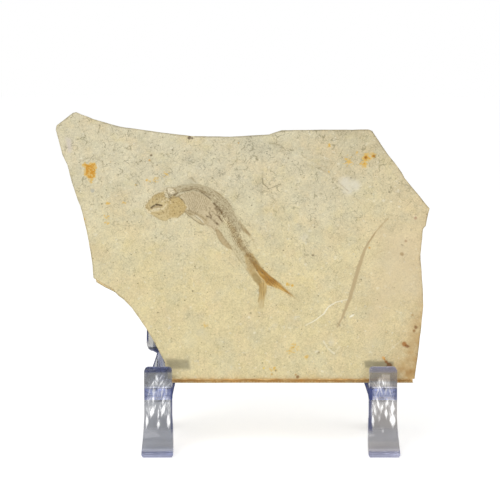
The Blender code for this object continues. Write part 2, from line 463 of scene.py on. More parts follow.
class FaceCanvas:
    """Colours laid on the face, one for each vertex, over whatever the stone is."""

    def __init__(self, places: np.ndarray) -> None:
        """Start bare.

        Args:
            places: (n, 3) face places in mm.
        """
        still = np.column_stack((places[:, :2], np.zeros(len(places))))
        bend = np.column_stack([grain(still, 1.7, seed) for seed in (2.3, 9.1)])
        self.places = places[:, :2] + 0.16 * bend
        self.patches = grain(still, 0.9, 4.7) * 0.6 + grain(still, 2.6, 6.1) * 0.8
        self.colour = np.zeros((len(places), 3))
        self.cover = np.zeros(len(places))
        self.height = np.zeros(len(places))

    def lay(self, mark: Mark) -> None:
        """Lay one mark over those before it."""
        share = mark.cover(self.places, self.patches)
        self.colour = self.colour * (1.0 - share)[:, None] + np.outer(share, linear(mark.colour))
        self.cover = self.cover * (1.0 - share) + share
        if mark.strength:
            self.height += mark.rise * share / mark.strength

    def paint(self) -> np.ndarray:
        """(n, 4) colours with their cover as the fourth value."""
        seen = np.maximum(self.cover, 1.0e-4)[:, None]
        return np.column_stack((self.colour / seen, self.cover))


# ---------------------------------------------------------------------------
# The fish


@dataclass(frozen=True)
class Fish:
    """The fossil fish: its raised body, its colours and the lines its patterns follow."""

    body: Stations = (
        (-38.6, 70, 1.2), (-36.4, 71.2, 3.6), (-32.7, 71.2, 6), (-28.2, 71.8, 6.5), (-23, 72.6, 7.1),
        (-17.5, 72, 7.4), (-12, 69.7, 7.2), (-6.9, 63.9, 5.7), (-3.7, 58, 4.6), (-0.6, 52.6, 3.9),
        (2.3, 48, 3), (5.2, 43.7, 2.8), (7.8, 40.4, 2.7),
    )
    upper_lobe: Stations = ((8.6, 40.6, 2.2), (14, 37.8, 1.6), (20.4, 33, 0.6))
    lower_lobe: Stations = ((7.8, 39.4, 2.2), (8, 34.2, 1.6), (7.2, 29.4, 1.2))
    body_rise: float = 0.38
    tail_rise: float = 0.22
    edge_blend: float = 1.1
    spine: Points = (
        (-30.5, 73.6), (-27.5, 75.2), (-23.6, 76.9), (-18.8, 77.3), (-15.6, 75.9), (-12.3, 73), (-9.5, 69.3),
        (-6.2, 65), (-4.1, 60.7), (-2.4, 56.5), (-0.1, 52.4), (2.9, 48.8), (5.6, 45.1), (8.8, 40.2),
    )
    dark, mid, thin = (112, 92, 60), (146, 124, 84), (168, 151, 112)
    body_marks: Marks = (
        area((184, 171, 138), 0.86, 1, 0.35, -28, 78.6, -24.2, 79.8, -21.2, 80.2, -18.1, 80, -14.5, 78.9,
             -11.8, 77.5, -9.1, 75.6, -6.4, 73, -4.2, 69.8, -3, 67, 0.6, 61, -2.1, 58.9, -3.9, 62.1, -5.5,
             63.7, -9.1, 68.8, -12.7, 73.5, -17.2, 76.9, -19.9, 77.7, -23.5, 77.1, -26.1, 76.3, -27.9, 74.9),
        area((200, 184, 149), 0.9, 0.8, 0.1, -25.7, 75.4, -23.5, 76.4, -19.9, 77, -17.2, 76.4, -14.5, 74.4,
             -11.2, 71, -9, 67, -7.8, 63.6, -10.4, 60.2, -12.4, 61.4, -14.4, 62.8, -16.2, 64.5, -18.9, 67.2,
             -21.6, 68.4, -22.3, 70.2, -23.4, 72.6),
        area((203, 192, 155), 0.7, 1.2, 0.4, -8.2, 64.2, -3.3, 60.5, -0.5, 56, 2.8, 51, 1, 50.4, -0.3, 46.9,
             -2.6, 50.1, -5.4, 54, -8.1, 57.7, -9.9, 61.4),
        area((162, 137, 90), 0.85, 1.2, 0.75, -6.2, 64.6, -5.2, 61.2, -4.3, 58.4, -2.6, 55.6, -1.2, 52.9, 0.6,
             50.6, 1.9, 48.7, 3.6, 50.2, 1.4, 53.6, -0.1, 56.1, -1.8, 58.9, -3.4, 62.1),
        area((175, 153, 112), 0.85, 0.6, 0.25, -10.6, 61.2, -10.4, 58.9, -9.2, 56.5, -7.9, 54.7, -6.1, 53.1,
             -4.3, 52.4, -5.2, 54.7, -7, 57, -8.4, 59.3, -9.6, 60.9),
        area((190, 172, 132), 0.65, 0.5, 0.2, -23.6, 68.9, -21.6, 69.4, -17.6, 67.7, -14.4, 66, -13.6, 64,
             -15.5, 62.8, -19.8, 65.6, -22.7, 67.6),
        area((187, 179, 151), 0.75, 1, 0.6, -24.6, 79.6, -23.5, 81.2, -22, 82.2, -20.8, 82.8, -19.4, 83,
             -18.1, 81, -17.6, 80),
        line((98, 78, 48), 0.6, 0.95, 0.5, 0.9, -29, 74, -27.9, 74.9, -26.1, 76.2, -23.5, 77.1, -19.9, 77.6,
             -17.2, 76.9, rise=0.07),
        line((98, 78, 48), 0.65, 0.95, 0.6, 0.8, -17.2, 76.9, -14.5, 74.9, -12.7, 73.3, -10.9, 71.1, -9.1,
             68.6, -7.3, 65.8, rise=0.07),
        line(thin, 0.9, 0.6, 0.9, 1, -26, 77, -22, 78.2, -18, 77.9, -14, 75.8),
        line(mid, 0.5, 0.6, 0.7, 0.6, -5.9, 63.4, -4.2, 60.2, -2.6, 57.3, -0.4, 53.7, 2.2, 50.2),
        line(thin, 0.3, 0.6, 0.5, 0.6, -21.2, 80.1, -18.1, 79.9, -14.5, 78.8, -11.8, 77.4, -9.1, 75.5),
        line(mid, 0.3, 0.7, 0.5, 0.6, -11.8, 77.4, -9.1, 75.5, -6.4, 72.9, -4.2, 69.7),
        line((222, 208, 174), 0.6, 0.6, 0.6, 0.9, -23.9, 72.6, -22.6, 70.6, -21.8, 69.6),
        line(mid, 0.35, 0.7, 0.5, 0.4, -15, 63.4, -12.6, 62, -10.8, 60.4),
        line(thin, 0.3, 0.6, 0.5, 0.4, -14.4, 62.6, -12.4, 60.6, -10.9, 58.8),
        line(mid, 0.35, 0.75, 0.5, 0.3, -10.6, 61.2, -10.4, 58.9, -9.2, 56.5, -7.9, 54.7),
        line(mid, 0.3, 0.75, 0.45, 0.3, -9.4, 60.4, -7, 57, -5.2, 54.4, -4.3, 52.6),
        line(thin, 0.3, 0.7, 0.5, 0.4, -4.3, 52.6, -2.6, 50.1, -0.3, 46.9, 3.2, 41.9, 6.8, 37.5),
        line(thin, 0.3, 0.55, 0.5, 0.5, -6.1, 56.1, -3.9, 53.3, -1.7, 50.6, 0.6, 47.3),
        line((166, 144, 102), 1.5, 0.7, 0.8, 0.5, -1.2, 64.2, 0.4, 61.6, 1.8, 59.4, taper=0.5),
        line((162, 138, 94), 1.1, 0.75, 0.8, 0.7, 1, 61, 2.9, 58.6, 4.2, 56.4, taper=0.4),
        line(dark, 0.3, 0.55, 0.4, 0.9, -1.3, 64.8, 1.8, 60.4, 4.4, 56.6),
        line(mid, 0.3, 0.65, 0.4, 0.4, -0.6, 62.8, 0.6, 59.6),
        line(thin, 0.5, 0.6, 0.6, 0.7, 4.1, 56.5, 5, 54.4, 5.6, 52.4),
    )
    clots: Rows = (
        (0.5, -14.9, 70.2, -14.4, 68.8), (0.65, -13.3, 69.8, -13.3, 67.6, -12.6, 66.5),
        (0.65, -10.9, 69.8, -10, 68.4, -10.6, 67, -9.4, 66.2), (0.75, -12.6, 65.6, -10.8, 63.9, -9.5, 62.8),
        (0.55, -14.4, 66.5, -12.6, 65.7), (0.5, -10, 70.7, -8.2, 67.9), (0.5, -12.4, 68.6, -11.2, 67.2),
        (0.6, -9.6, 66.2, -8, 64.2), (0.9, -11.4, 71.6, -10.2, 70.2, -9.4, 68.8),
        (0.8, -8.8, 68.2, -7.4, 66.2), (0.7, -29.4, 75.6, -28.2, 74.6, -27, 75.6),
    )
    fin_marks: Marks = (
        line(dark, 0.28, 0.85, 0.35, 0, -23.4, 68.2, -20.2, 65.5, -16.2, 63, -15.3, 62.9),
        line(dark, 0.28, 0.75, 0.35, 0.4, -22, 69.1, -18.9, 67.6, -16.2, 66, -14.6, 64.6),
        line((232, 225, 198), 0.45, 0.9, 0.45, 0, -19.2, 66.9, -16.9, 65.3, -15.6, 63.8, taper=0.4),
        line((222, 213, 183), 0.35, 0.8, 0.4, 0, -20.6, 66.8, -17.8, 64.9, taper=0.5),
        line(dark, 0.25, 0.7, 0.4, 0, -18.8, 66.3, -16.8, 64.7, -15.7, 63.4),
        line(mid, 0.7, 0.7, 0.6, 0.3, -22.8, 68.3, -20.4, 67),
        line(mid, 0.35, 0.7, 0.5, 0.3, -21.4, 82.8, -20.2, 82.2, -19, 80.8),
    )
    umber, sand = (132, 98, 46), (158, 130, 80)
    tail_marks: Marks = (
        area((180, 152, 98), 0.9, 1.2, 0.35, 0.8, 50.4, 3.7, 50.6, 6.3, 46.9, 8.6, 43.4, 9.2, 39, 6.8, 37.3,
             4.1, 40.9, 1.6, 44.6),
        area((156, 134, 86), 0.85, 0.9, 0.3, 3.5, 41.9, 5.2, 43, 7.4, 41.3, 7.6, 38.6, 6.4, 37.8, 4.9, 39.6),
        area((191, 163, 104), 0.9, 0.6, 0.2, 6.6, 38.6, 9.4, 39.4, 9.7, 36.6, 8.8, 32.8, 8.4, 29.6, 7.6, 28.2,
             6.6, 28.8, 6.3, 31.9, 6.7, 34.7),
        area((168, 139, 84), 0.7, 1.4, 0.4, 6.8, 38.4, 8.4, 38.4, 8, 34.6, 6.8, 34.6),
        area((206, 192, 150), 0.7, 1.8, 0, 6.2, 31.8, 8.9, 32.2, 8.2, 27.4, 6.3, 27.4),
        area((180, 135, 58), 0.95, 0.5, 0.1, 3.9, 47.2, 7.2, 45.3, 9.9, 43, 12.5, 40.7, 15.2, 38.4, 17.8,
             35.7, 20.4, 33.2, 17.8, 34.6, 15.1, 36.2, 12.5, 37.3, 9.9, 38, 8.3, 40, 5.9, 43.6),
        area((160, 114, 46), 0.75, 1, 0.4, 7.4, 43.9, 10.7, 42, 13.2, 39.6, 13.8, 38.2, 11.2, 38.2, 9.4,
             39.5),
        line(umber, 0.35, 0.8, 0.5, 0.5, 5.4, 46.4, 8.2, 44.4, 12.5, 40.6, 16.4, 37.2),
        line((214, 180, 112), 0.45, 0.75, 0.6, 0.3, 9.9, 38.4, 13, 37.6, 16.6, 35.7),
        line((204, 160, 78), 0.5, 0.6, 0.6, 0, 13.2, 38.6, 16.9, 35.9, 19.6, 33.7),
        line((206, 190, 146), 0.5, 0.75, 0.6, 0, 18.6, 34.6, 22.4, 31.6, taper=0.4),
        line((176, 160, 118), 0.25, 0.5, 0.4, 0, 20.4, 33, 23.6, 30.8, taper=0.4),
        line((226, 208, 158), 0.3, 0.8, 0.4, 0.3, 5, 44.4, 6.8, 41.6, 7.8, 39.9),
        line((222, 204, 154), 0.3, 0.7, 0.4, 0.3, 7.4, 41.2, 9.6, 38.2),
        line(umber, 0.3, 0.6, 0.45, 0.6, 6.7, 38.3, 6.6, 34.6, 6.3, 31.2),
        line(sand, 0.3, 0.6, 0.45, 0.6, 9.6, 38, 8.9, 33.6, 8.4, 30),
        area((166, 136, 80), 0.8, 1.2, 0.5, 1.4, 51.2, 4.2, 51, 6.2, 47.6, 8.2, 44.6, 6, 43.6, 3, 46.8),
        line((120, 94, 54), 1.1, 0.85, 0.8, 0.8, 1.6, 50.6, 3.6, 49, 3.4, 47.6),
        line((132, 98, 50), 0.7, 0.85, 0.6, 0.8, 2.6, 49.4, 4, 47.2, 5.6, 44.8, 6.4, 43.2),
        line((150, 116, 60), 1.0, 0.8, 0.9, 0.5, 4.6, 47.6, 6.6, 44.6, 8.1, 42.4),
    )
    pits: Points = ((-3.6, 57.8), (3.2, 49.7), (5.7, 44), (8, 42.9))
    brown, shade, bright = (156, 130, 80), (104, 82, 48), (236, 224, 190)
    head_marks: Marks = (
        area((201, 181, 132), 0.95, 0.5, 0.1, -39.1, 69.8, -38.6, 71.7, -37.3, 73.3, -35.5, 75.4, -33.7, 76.1,
             -31.7, 76.8, -31.5, 74.9, -30.1, 73.8, -27.9, 74.9, -25.6, 74.5, -23.8, 72.8, -22.5, 70.3, -23.6,
             67.9, -26.1, 65.8, -29.2, 65.6, -30.8, 64.7, -33.3, 65.1, -35.5, 66.6, -37.3, 67.5, -38.6, 68.4),
        area((184, 160, 106), 0.75, 1.2, 0.8, -37.6, 72.6, -35.6, 75.2, -32, 76.5, -31.6, 74.6, -33.6, 73.2,
             -36, 72.2),
        area((190, 165, 110), 0.85, 0.8, 0.4, -29.9, 73.4, -27.9, 74.6, -25.6, 74.3, -23.9, 72.7, -22.8, 70.2,
             -23.8, 68.1, -26.3, 66.2, -29.2, 66.2, -29.7, 69.2),
        area((214, 198, 152), 0.6, 0.9, 0.6, -34.2, 73.6, -31, 73.4, -31, 71.6, -33, 72),
        area((176, 156, 118), 0.85, 0.6, 0, -36.9, 69.9, -35, 71.2, -32.6, 71.3, -32.2, 70.4, -33.8, 69.6,
             -35.6, 69.4, rise=-0.12),
        area((230, 218, 186), 0.95, 0.4, 0, -30.4, 78.1, -28, 78, -27.2, 76.5, -28.4, 75.7, -29.9, 76.2,
             rise=-0.14),
        line(brown, 0.35, 0.8, 0.5, 0.8, -38.9, 70.8, -37.3, 73.3, -35.5, 75.4, -33.7, 76.1),
        line(shade, 0.4, 0.8, 0.5, 0.4, -25.6, 74.6, -23.9, 72.9, -23.2, 71.6, rise=-0.06),
        line(brown, 0.4, 0.85, 0.5, 0.5, -22.6, 70.3, -23.6, 68, -26.1, 65.8, rise=-0.06),
        line(brown, 0.35, 0.7, 0.5, 0.8, -29.2, 65.5, -30.8, 64.7, -33.3, 65.1, -35.5, 66.6),
        line(shade, 0.3, 0.6, 0.5, 0.9, -30.1, 73.6, -29.9, 71.7, -30.1, 69.8, rise=-0.04),
        line(brown, 0.35, 0.6, 0.5, 0.6, -30.1, 69.8, -30.6, 67.5, -30.2, 66),
        line(bright, 0.6, 0.85, 0.6, 0.4, -37.2, 68.6, -34.6, 68.8, -31.8, 69.6),
        line(bright, 0.5, 0.7, 0.5, 0.5, -31.6, 70, -30.6, 71.6),
        line(bright, 0.45, 0.8, 0.4, 0, -36, 69.4, -33.6, 69.7),
        line(brown, 0.35, 0.75, 0.5, 0.8, -36.8, 68, -34, 67.6, -31.4, 68.2),
        line(bright, 0.5, 0.9, 0.4, 0.3, -38.7, 69.2, -37.9, 68.4, -37, 67.8),
        line(shade, 0.3, 0.8, 0.4, 0.5, -38.4, 69.9, -37.6, 69.2, -37, 68.4),
        line((62, 48, 32), 0.5, 1, 0.45, 0, -36.6, 70.2, -34.8, 71.2),
        line((58, 45, 30), 0.6, 1, 0.45, 0, -34.8, 71.3, -33.8, 71.3, -32.6, 71),
        line(shade, 0.4, 0.85, 0.4, 0, -36.9, 69.9, -36.4, 69.6),
        line(shade, 0.35, 0.85, 0.4, 0.3, -30.6, 78.4, -30.4, 76.4, -29.8, 75, -28.6, 74),
        line(brown, 0.3, 0.8, 0.4, 0.4, -30.3, 78.5, -28, 78.4, -26.9, 76.8),
        line(shade, 0.55, 0.85, 0.6, 0.6, -29.6, 73.9, -27.4, 74.2, -25.2, 75.3),
        line(shade, 0.35, 0.7, 0.4, 0.4, -29, 75.2, -27.2, 75.6, -26.2, 76.3),
    )
    beads: Points = (
        (-31.4, 73), (-30.5, 73.3), (-29.7, 73.2), (-29, 72.6), (-28.9, 71.8), (-32.4, 72.6),
    )
    dots: Points = (
        (-27.2, 67.5), (-24.6, 73.6), (-29, 73.4), (-32, 68.3), (-33.6, 67.2), (-27.2, 70.3), (-28, 72.4),
        (-25.6, 70.6), (-34.6, 73.6), (-36.2, 72.4), (-31.2, 72.2), (-25.2, 68.2),
    )

    def outside(self, places: np.ndarray) -> np.ndarray:
        """Distance outside the fish, negative inside it."""
        chains = (self.body, self.upper_lobe, self.lower_lobe)
        return np.min([chain_distance(places, chain) for chain in chains], axis=0)

    def rise(self, places: np.ndarray) -> np.ndarray:
        """Height of the fish's smooth form above the face, as the solid has it."""
        body = smooth_step(0.5 - chain_distance(places, self.body) / self.edge_blend)
        depths = [chain_distance(places, lobe) for lobe in (self.upper_lobe, self.lower_lobe)]
        tail = np.max([smooth_step(0.5 - depth / self.edge_blend) for depth in depths], axis=0)
        return np.maximum(self.body_rise * body, self.tail_rise * tail)

    def ways(self, places: np.ndarray) -> np.ndarray:
        """For the patterns: length along the spine, distance across it and depth inside the fish."""
        distance, along, side = line_distance(places, self.spine)
        return np.column_stack((along, distance * side, -self.outside(places)))

    def marks(self) -> list[Mark]:
        """The fish's colours, the broad ones first in each part."""
        clots = [line((100, 80, 50), width, 0.95, 0.5, 0.8, *way) for width, *way in self.clots]
        pits = [line((72, 56, 36), 0.42, 0.95, 0.3, 0.0, *place) for place in self.pits]
        beads = [line(self.bright, 0.45, 0.8, 0.35, 0.0, *place) for place in self.beads]
        dots = [line(self.shade, 0.5, 0.8, 0.35, 0.0, *place) for place in self.dots]
        body, tail = [*self.body_marks, *clots, *self.fin_marks], [*self.tail_marks, *pits]
        return [*body, *tail, *self.head_marks, *beads, *dots]


@dataclass(frozen=True)
class StoneMarks:
    """Stains, cracks, the plant stem and painted lip shadows on the face.

    Attributes:
        stem: The stem's middle line as x, v, x, v and so on, from its top.
        big_stain: The outline of the largest rusty stain, given the same way.
        rust_spots: Rusty places as x, v, width and strength.
        grey_spots: Grey places, given the same way.
        chalk_spots: Chalky places, given the same way.
        brown_spots: Brown and yellow spots as x, v, width and colour.
    """

    stem: Flat = (
        58.5, 65.5, 56, 63, 53.1, 59.4, 50.6, 55.6, 48.7, 52.1, 47.1, 47.3, 45.5, 42.2, 43.8, 36.6, 42.6,
        32.5, 39.7, 25.2, 37.5, 20.9,
    )
    rust: Rgb = (203, 148, 60)
    big_stain: Flat = (
        -64.3, 89.3, -62.7, 88.6, -61.5, 89.5, -59.6, 89.3, -59.2, 87.4, -59.4, 83.8, -61.4, 80.2, -63.2,
        83.1, -64.4, 84.2, -63.9, 86.4, -64.9, 87.8,
    )
    rust_spots: Spots = (
        (42.9, 90, 4.2, 0.62), (50.2, 91.4, 3.2, 1), (53, 92.1, 2.4, 1), (49, 88.5, 2.8, 0.85),
        (46.4, 93.2, 1.6, 0.7), (34.9, 96.6, 1.8, 0.8), (35, 85.1, 1.5, 0.6), (-54.7, 66, 2.2, 0.7),
        (-54.6, 63.6, 1.8, 0.7), (-63.9, 65.2, 1.8, 0.9), (-63.6, 63.2, 1.8, 0.8), (-54.6, 71.6, 1.8, 0.7),
        (-47.8, 72, 1.6, 0.7), (-42.7, 79.6, 1.6, 0.7), (-38.2, 81.7, 2.2, 0.65), (-35, 81.9, 2.6, 0.6),
        (-30.8, 84.2, 3, 0.55), (18, 38.4, 1.4, 0.9), (20, 38.1, 1.3, 1), (20.7, 12.4, 4, 0.62),
        (18.6, 11.6, 2.6, 0.7), (25.4, 8.6, 1.8, 0.75), (13.2, 4, 2, 0.7), (11.2, 3.6, 1.6, 0.6),
        (-14.8, 21.7, 2.4, 0.6),
    )
    grey_spots: Spots = (
        (-22, 90.5, 4, 0.8), (-16, 87.5, 5, 0.7), (-9, 84.8, 4, 0.8), (-1, 83.5, 3.6, 0.6),
        (-14, 92.5, 3.4, 0.7), (2.5, 96.5, 6.5, 0.8), (9.5, 94.5, 6, 0.8), (14, 96, 4.5, 0.6),
        (-32, 88.5, 3.4, 0.5), (6, 80, 6, 0.45), (19, 66, 2.6, 0.7), (22.5, 62, 2.4, 0.7),
        (25.5, 56.5, 2.4, 0.6),
    )
    chalk_spots: Spots = (
        (41.5, 80.8, 5.5, 0.95), (45, 79.6, 5.5, 0.95), (42.6, 78, 5.5, 0.9), (35, 14.6, 3.4, 0.6),
        (24.5, 57.5, 5, 0.55), (-16, 18.5, 5, 0.5), (12.5, 21.5, 4, 0.5),
    )
    brown_spots: Sequence[tuple[float, float, float, Rgb]] = (
        (21.8, 0.9, 1.3, (128, 86, 40)), (21, 1.8, 0.8, (168, 118, 52)), (63.9, 14, 2.1, (158, 98, 34)),
        (64.9, 13.2, 1.5, (122, 72, 26)), (55.5, 8.5, 1.3, (218, 154, 52)), (55.9, 7.8, 0.7, (190, 126, 48)),
        (56.5, 7, 1.2, (140, 82, 26)), (57.1, 6.3, 0.8, (126, 72, 24)), (57.8, 5.5, 2, (108, 62, 18)),
        (68.6, 20.9, 1.4, (132, 96, 58)), (67.9, 19.4, 1.2, (146, 106, 60)),
        (67.4, 25.8, 0.9, (170, 136, 90)), (63.7, 50.8, 1.5, (160, 132, 90)),
        (65.4, 56.2, 1.1, (172, 142, 110)), (69.6, 65.8, 1.2, (176, 142, 116)),
        (-21.8, 99.8, 1.5, (96, 78, 58)), (-20.6, 99.6, 0.9, (96, 78, 58)), (49.9, 91.3, 1.1, (150, 92, 24)),
        (53.3, 92, 1, (140, 80, 20)), (28.1, 50.3, 0.9, (84, 66, 46)), (29, 62, 0.6, (96, 84, 66)),
        (30.1, 10.7, 0.8, (110, 92, 62)), (-37.1, 92.3, 0.9, (104, 84, 54)),
        (-37.8, 90.2, 0.7, (206, 148, 58)), (50.9, 53.4, 0.9, (206, 158, 84)),
        (8.4, 4.4, 0.7, (236, 200, 74)), (-60.6, 77.3, 1.6, (176, 174, 160)), (18.6, 91, 0.7, (112, 94, 64)),
    )
    tan, painted_lip_shadow = (184, 148, 92), (138, 131, 104)
    washes: Marks = (
        area(tan, 0.92, 15, 0.6, 76, 36, 68, 22, 62, 8, 50, -3, 76, -3),
        area(tan, 0.6, 5, 0.8, 76, 24, 71.5, 18, 68, 6, 64, -3, 78, -3),
        line((156, 116, 66), 3.0, 0.55, 2.6, 1.6, 61, 2, 68, 3, 70, 9),
        line((192, 154, 94), 2.0, 0.9, 3.4, 0.8, -30, -0.4, 76, -0.4),
        line((146, 106, 58), 0.7, 0.7, 1, 1.6, -30, -0.3, 76, -0.3),
        line(tan, 2.4, 0.6, 6, 0.9, 76, 66, 72, 48, 73, 30),
        area((217, 198, 162), 0.5, 14, 0, 56, 60, 72, 62, 72, 34, 58, 30, 50, 14),
        area((219, 206, 158), 0.4, 6, 0.5, -20, 24, -12, 25, -11, 12, -21, 11),
        # Painted shadows of the easel's two lips: grey bands on the stone just above each lip.
        area(painted_lip_shadow, 0.75, 1.2, 0.15, 47.8, 7.4, 59.4, 7, 59.4, 4.4, 48.2, 4.4),
        area(painted_lip_shadow, 0.7, 1.8, 0.15, -30.4, 8.2, -21, 7.8, -20.5, 4, -29, 4),
        area((206, 196, 186), 0.7, 2, 0, -72, 100, -69.8, 99, -69.4, 94, -71, 93),
        line((166, 156, 126), 0.5, 0.75, 0.6, 0.9, -66, 90, -62, 91.3, -57, 90, -56.2, 85, -58.6, 80.2, -62.6,
             79),
    )
    white, grey, dark = (240, 234, 212), (156, 148, 120), (128, 118, 90)
    buff, faint = (184, 160, 118), (180, 172, 144)
    scars: Marks = (
        line(white, 0.42, 0.95, 0.4, 0.15, 25.1, 21.5, 29.3, 24, 32.4, 26.5, 34, 29, 37, 31, 41.6, 32.1,
             taper=0.6, rise=0.05),
        line(white, 0.8, 0.95, 0.5, 0, 42.5, 25, 44.2, 25.9, taper=0.5),
        line(white, 0.5, 0.75, 0.6, 0.5, 32, 15.3, 33.8, 12.2, 36.2, 10.3),
        line(white, 0.4, 0.5, 0.6, 0.6, 36.2, 10.3, 38.3, 13.1),
        line((226, 215, 181), 0.45, 0.75, 0.45, 0.6, 23, 92.2, 34.6, 83.1, 42.3, 76.4, rise=-0.04),
        line((172, 152, 114), 0.3, 0.8, 0.4, 0.8, 24, 92.4, 35.2, 83.8, 42.8, 77),
        line(buff, 0.3, 0.5, 0.45, 0.8, 44.8, 74.6, 51.5, 69.3, 57.6, 64.8),
        line(buff, 0.5, 0.6, 0.7, 1.2, 26.9, 90.6, 30.6, 88.4, 35, 86.6),
        line(dark, 0.3, 0.6, 0.4, 0.5, 20.4, 88.9, 24.1, 85.5),
        line(dark, 0.45, 0.9, 0.4, 0.4, 7.9, 82.5, 8.4, 80.2, 10.6, 78),
        line(dark, 0.4, 0.85, 0.4, 0.4, 10.6, 78, 15.4, 80.1, taper=0.5),
        line(grey, 0.35, 0.75, 0.45, 0.4, 10.5, 77.1, 11.4, 74.7, 13.1, 73.3),
        line(faint, 1.1, 0.5, 1.2, 0.9, 7.9, 94, 7.7, 83.8, 7, 71.2, 7.4, 61.5),
        line(grey, 0.3, 0.5, 0.4, 1.2, 8.3, 92, 8.2, 83.8, 7.5, 71.2),
        line(dark, 0.35, 0.75, 0.5, 0.5, 10.7, 97.3, 13.2, 97.3, 15.9, 96.2, 17.5, 94.5),
        line(grey, 0.35, 0.6, 0.5, 0.5, 17.5, 94.5, 13.8, 93.4),
        line(grey, 0.4, 0.6, 0.6, 0.6, 1.8, 98.7, 5.8, 95.3, 7.9, 96.2),
        line(grey, 0.35, 0.5, 0.5, 0.9, -46.2, 85.4, -43.9, 83.4, -42.3, 81.3),
        line(grey, 0.4, 0.5, 0.5, 0.8, -54.1, 66.1, -53.2, 63.6, -50, 62, -46.4, 62.8),
        line(buff, 0.35, 0.55, 0.5, 0.9, 49.9, 48.6, 53, 50.5, 55.4, 51.8, 57.9, 53),
        line(white, 0.3, 0.4, 0.5, 0.9, 54.6, 7.8, 59.5, 12.8, 65.1, 17.7),
        line(grey, 0.3, 0.5, 0.4, 0.8, 5.6, 25.2, 10.4, 26.6, 17.6, 32.2),
    )

    def marks(self) -> list[Mark]:
        """All of them, the broad ones first."""
        brown = [line(tone, width, 0.9, 0.6, 0.3, x, v) for x, v, width, tone in self.brown_spots]
        plant = [
            line((166, 143, 106), 1.55, 0.6, 0.5, 0.05, *self.stem[4:], taper=0.75),
            line((187, 167, 128), 1.1, 0.9, 0.5, 0.0, *self.stem[4:], taper=0.75, rise=0.06),
            line((172, 146, 106), 0.5, 0.75, 0.45, 0.3, *self.stem[:8]),
        ]
        return [*self.washes, *brown, *self.scars, *plant]

    def spots(self, rows: Spots, fade: float) -> list[Mark]:
        """Round soft marks, which fade over a share of their width."""
        return [line(self.rust, width, strength, width * fade, 0.0, x, v) for x, v, width, strength in rows]

    def fields(self, places: np.ndarray) -> np.ndarray:
        """Rust, grey and chalk at each place, which the finish breaks up finely.

        Args:
            places: (n, 2) face places.

        Returns:
            (n, 3) values from 0 to 1.
        """
        rust = [area(self.rust, 1.0, 1.3, 0.0, *self.big_stain), *self.spots(self.rust_spots, 1.0)]
        groups = (rust, self.spots(self.grey_spots, 0.9), self.spots(self.chalk_spots, 0.9))
        level = np.zeros(len(places))
        return np.column_stack([np.max([m.cover(places, level) for m in group], axis=0) for group in groups])


# ---------------------------------------------------------------------------
# Finishes


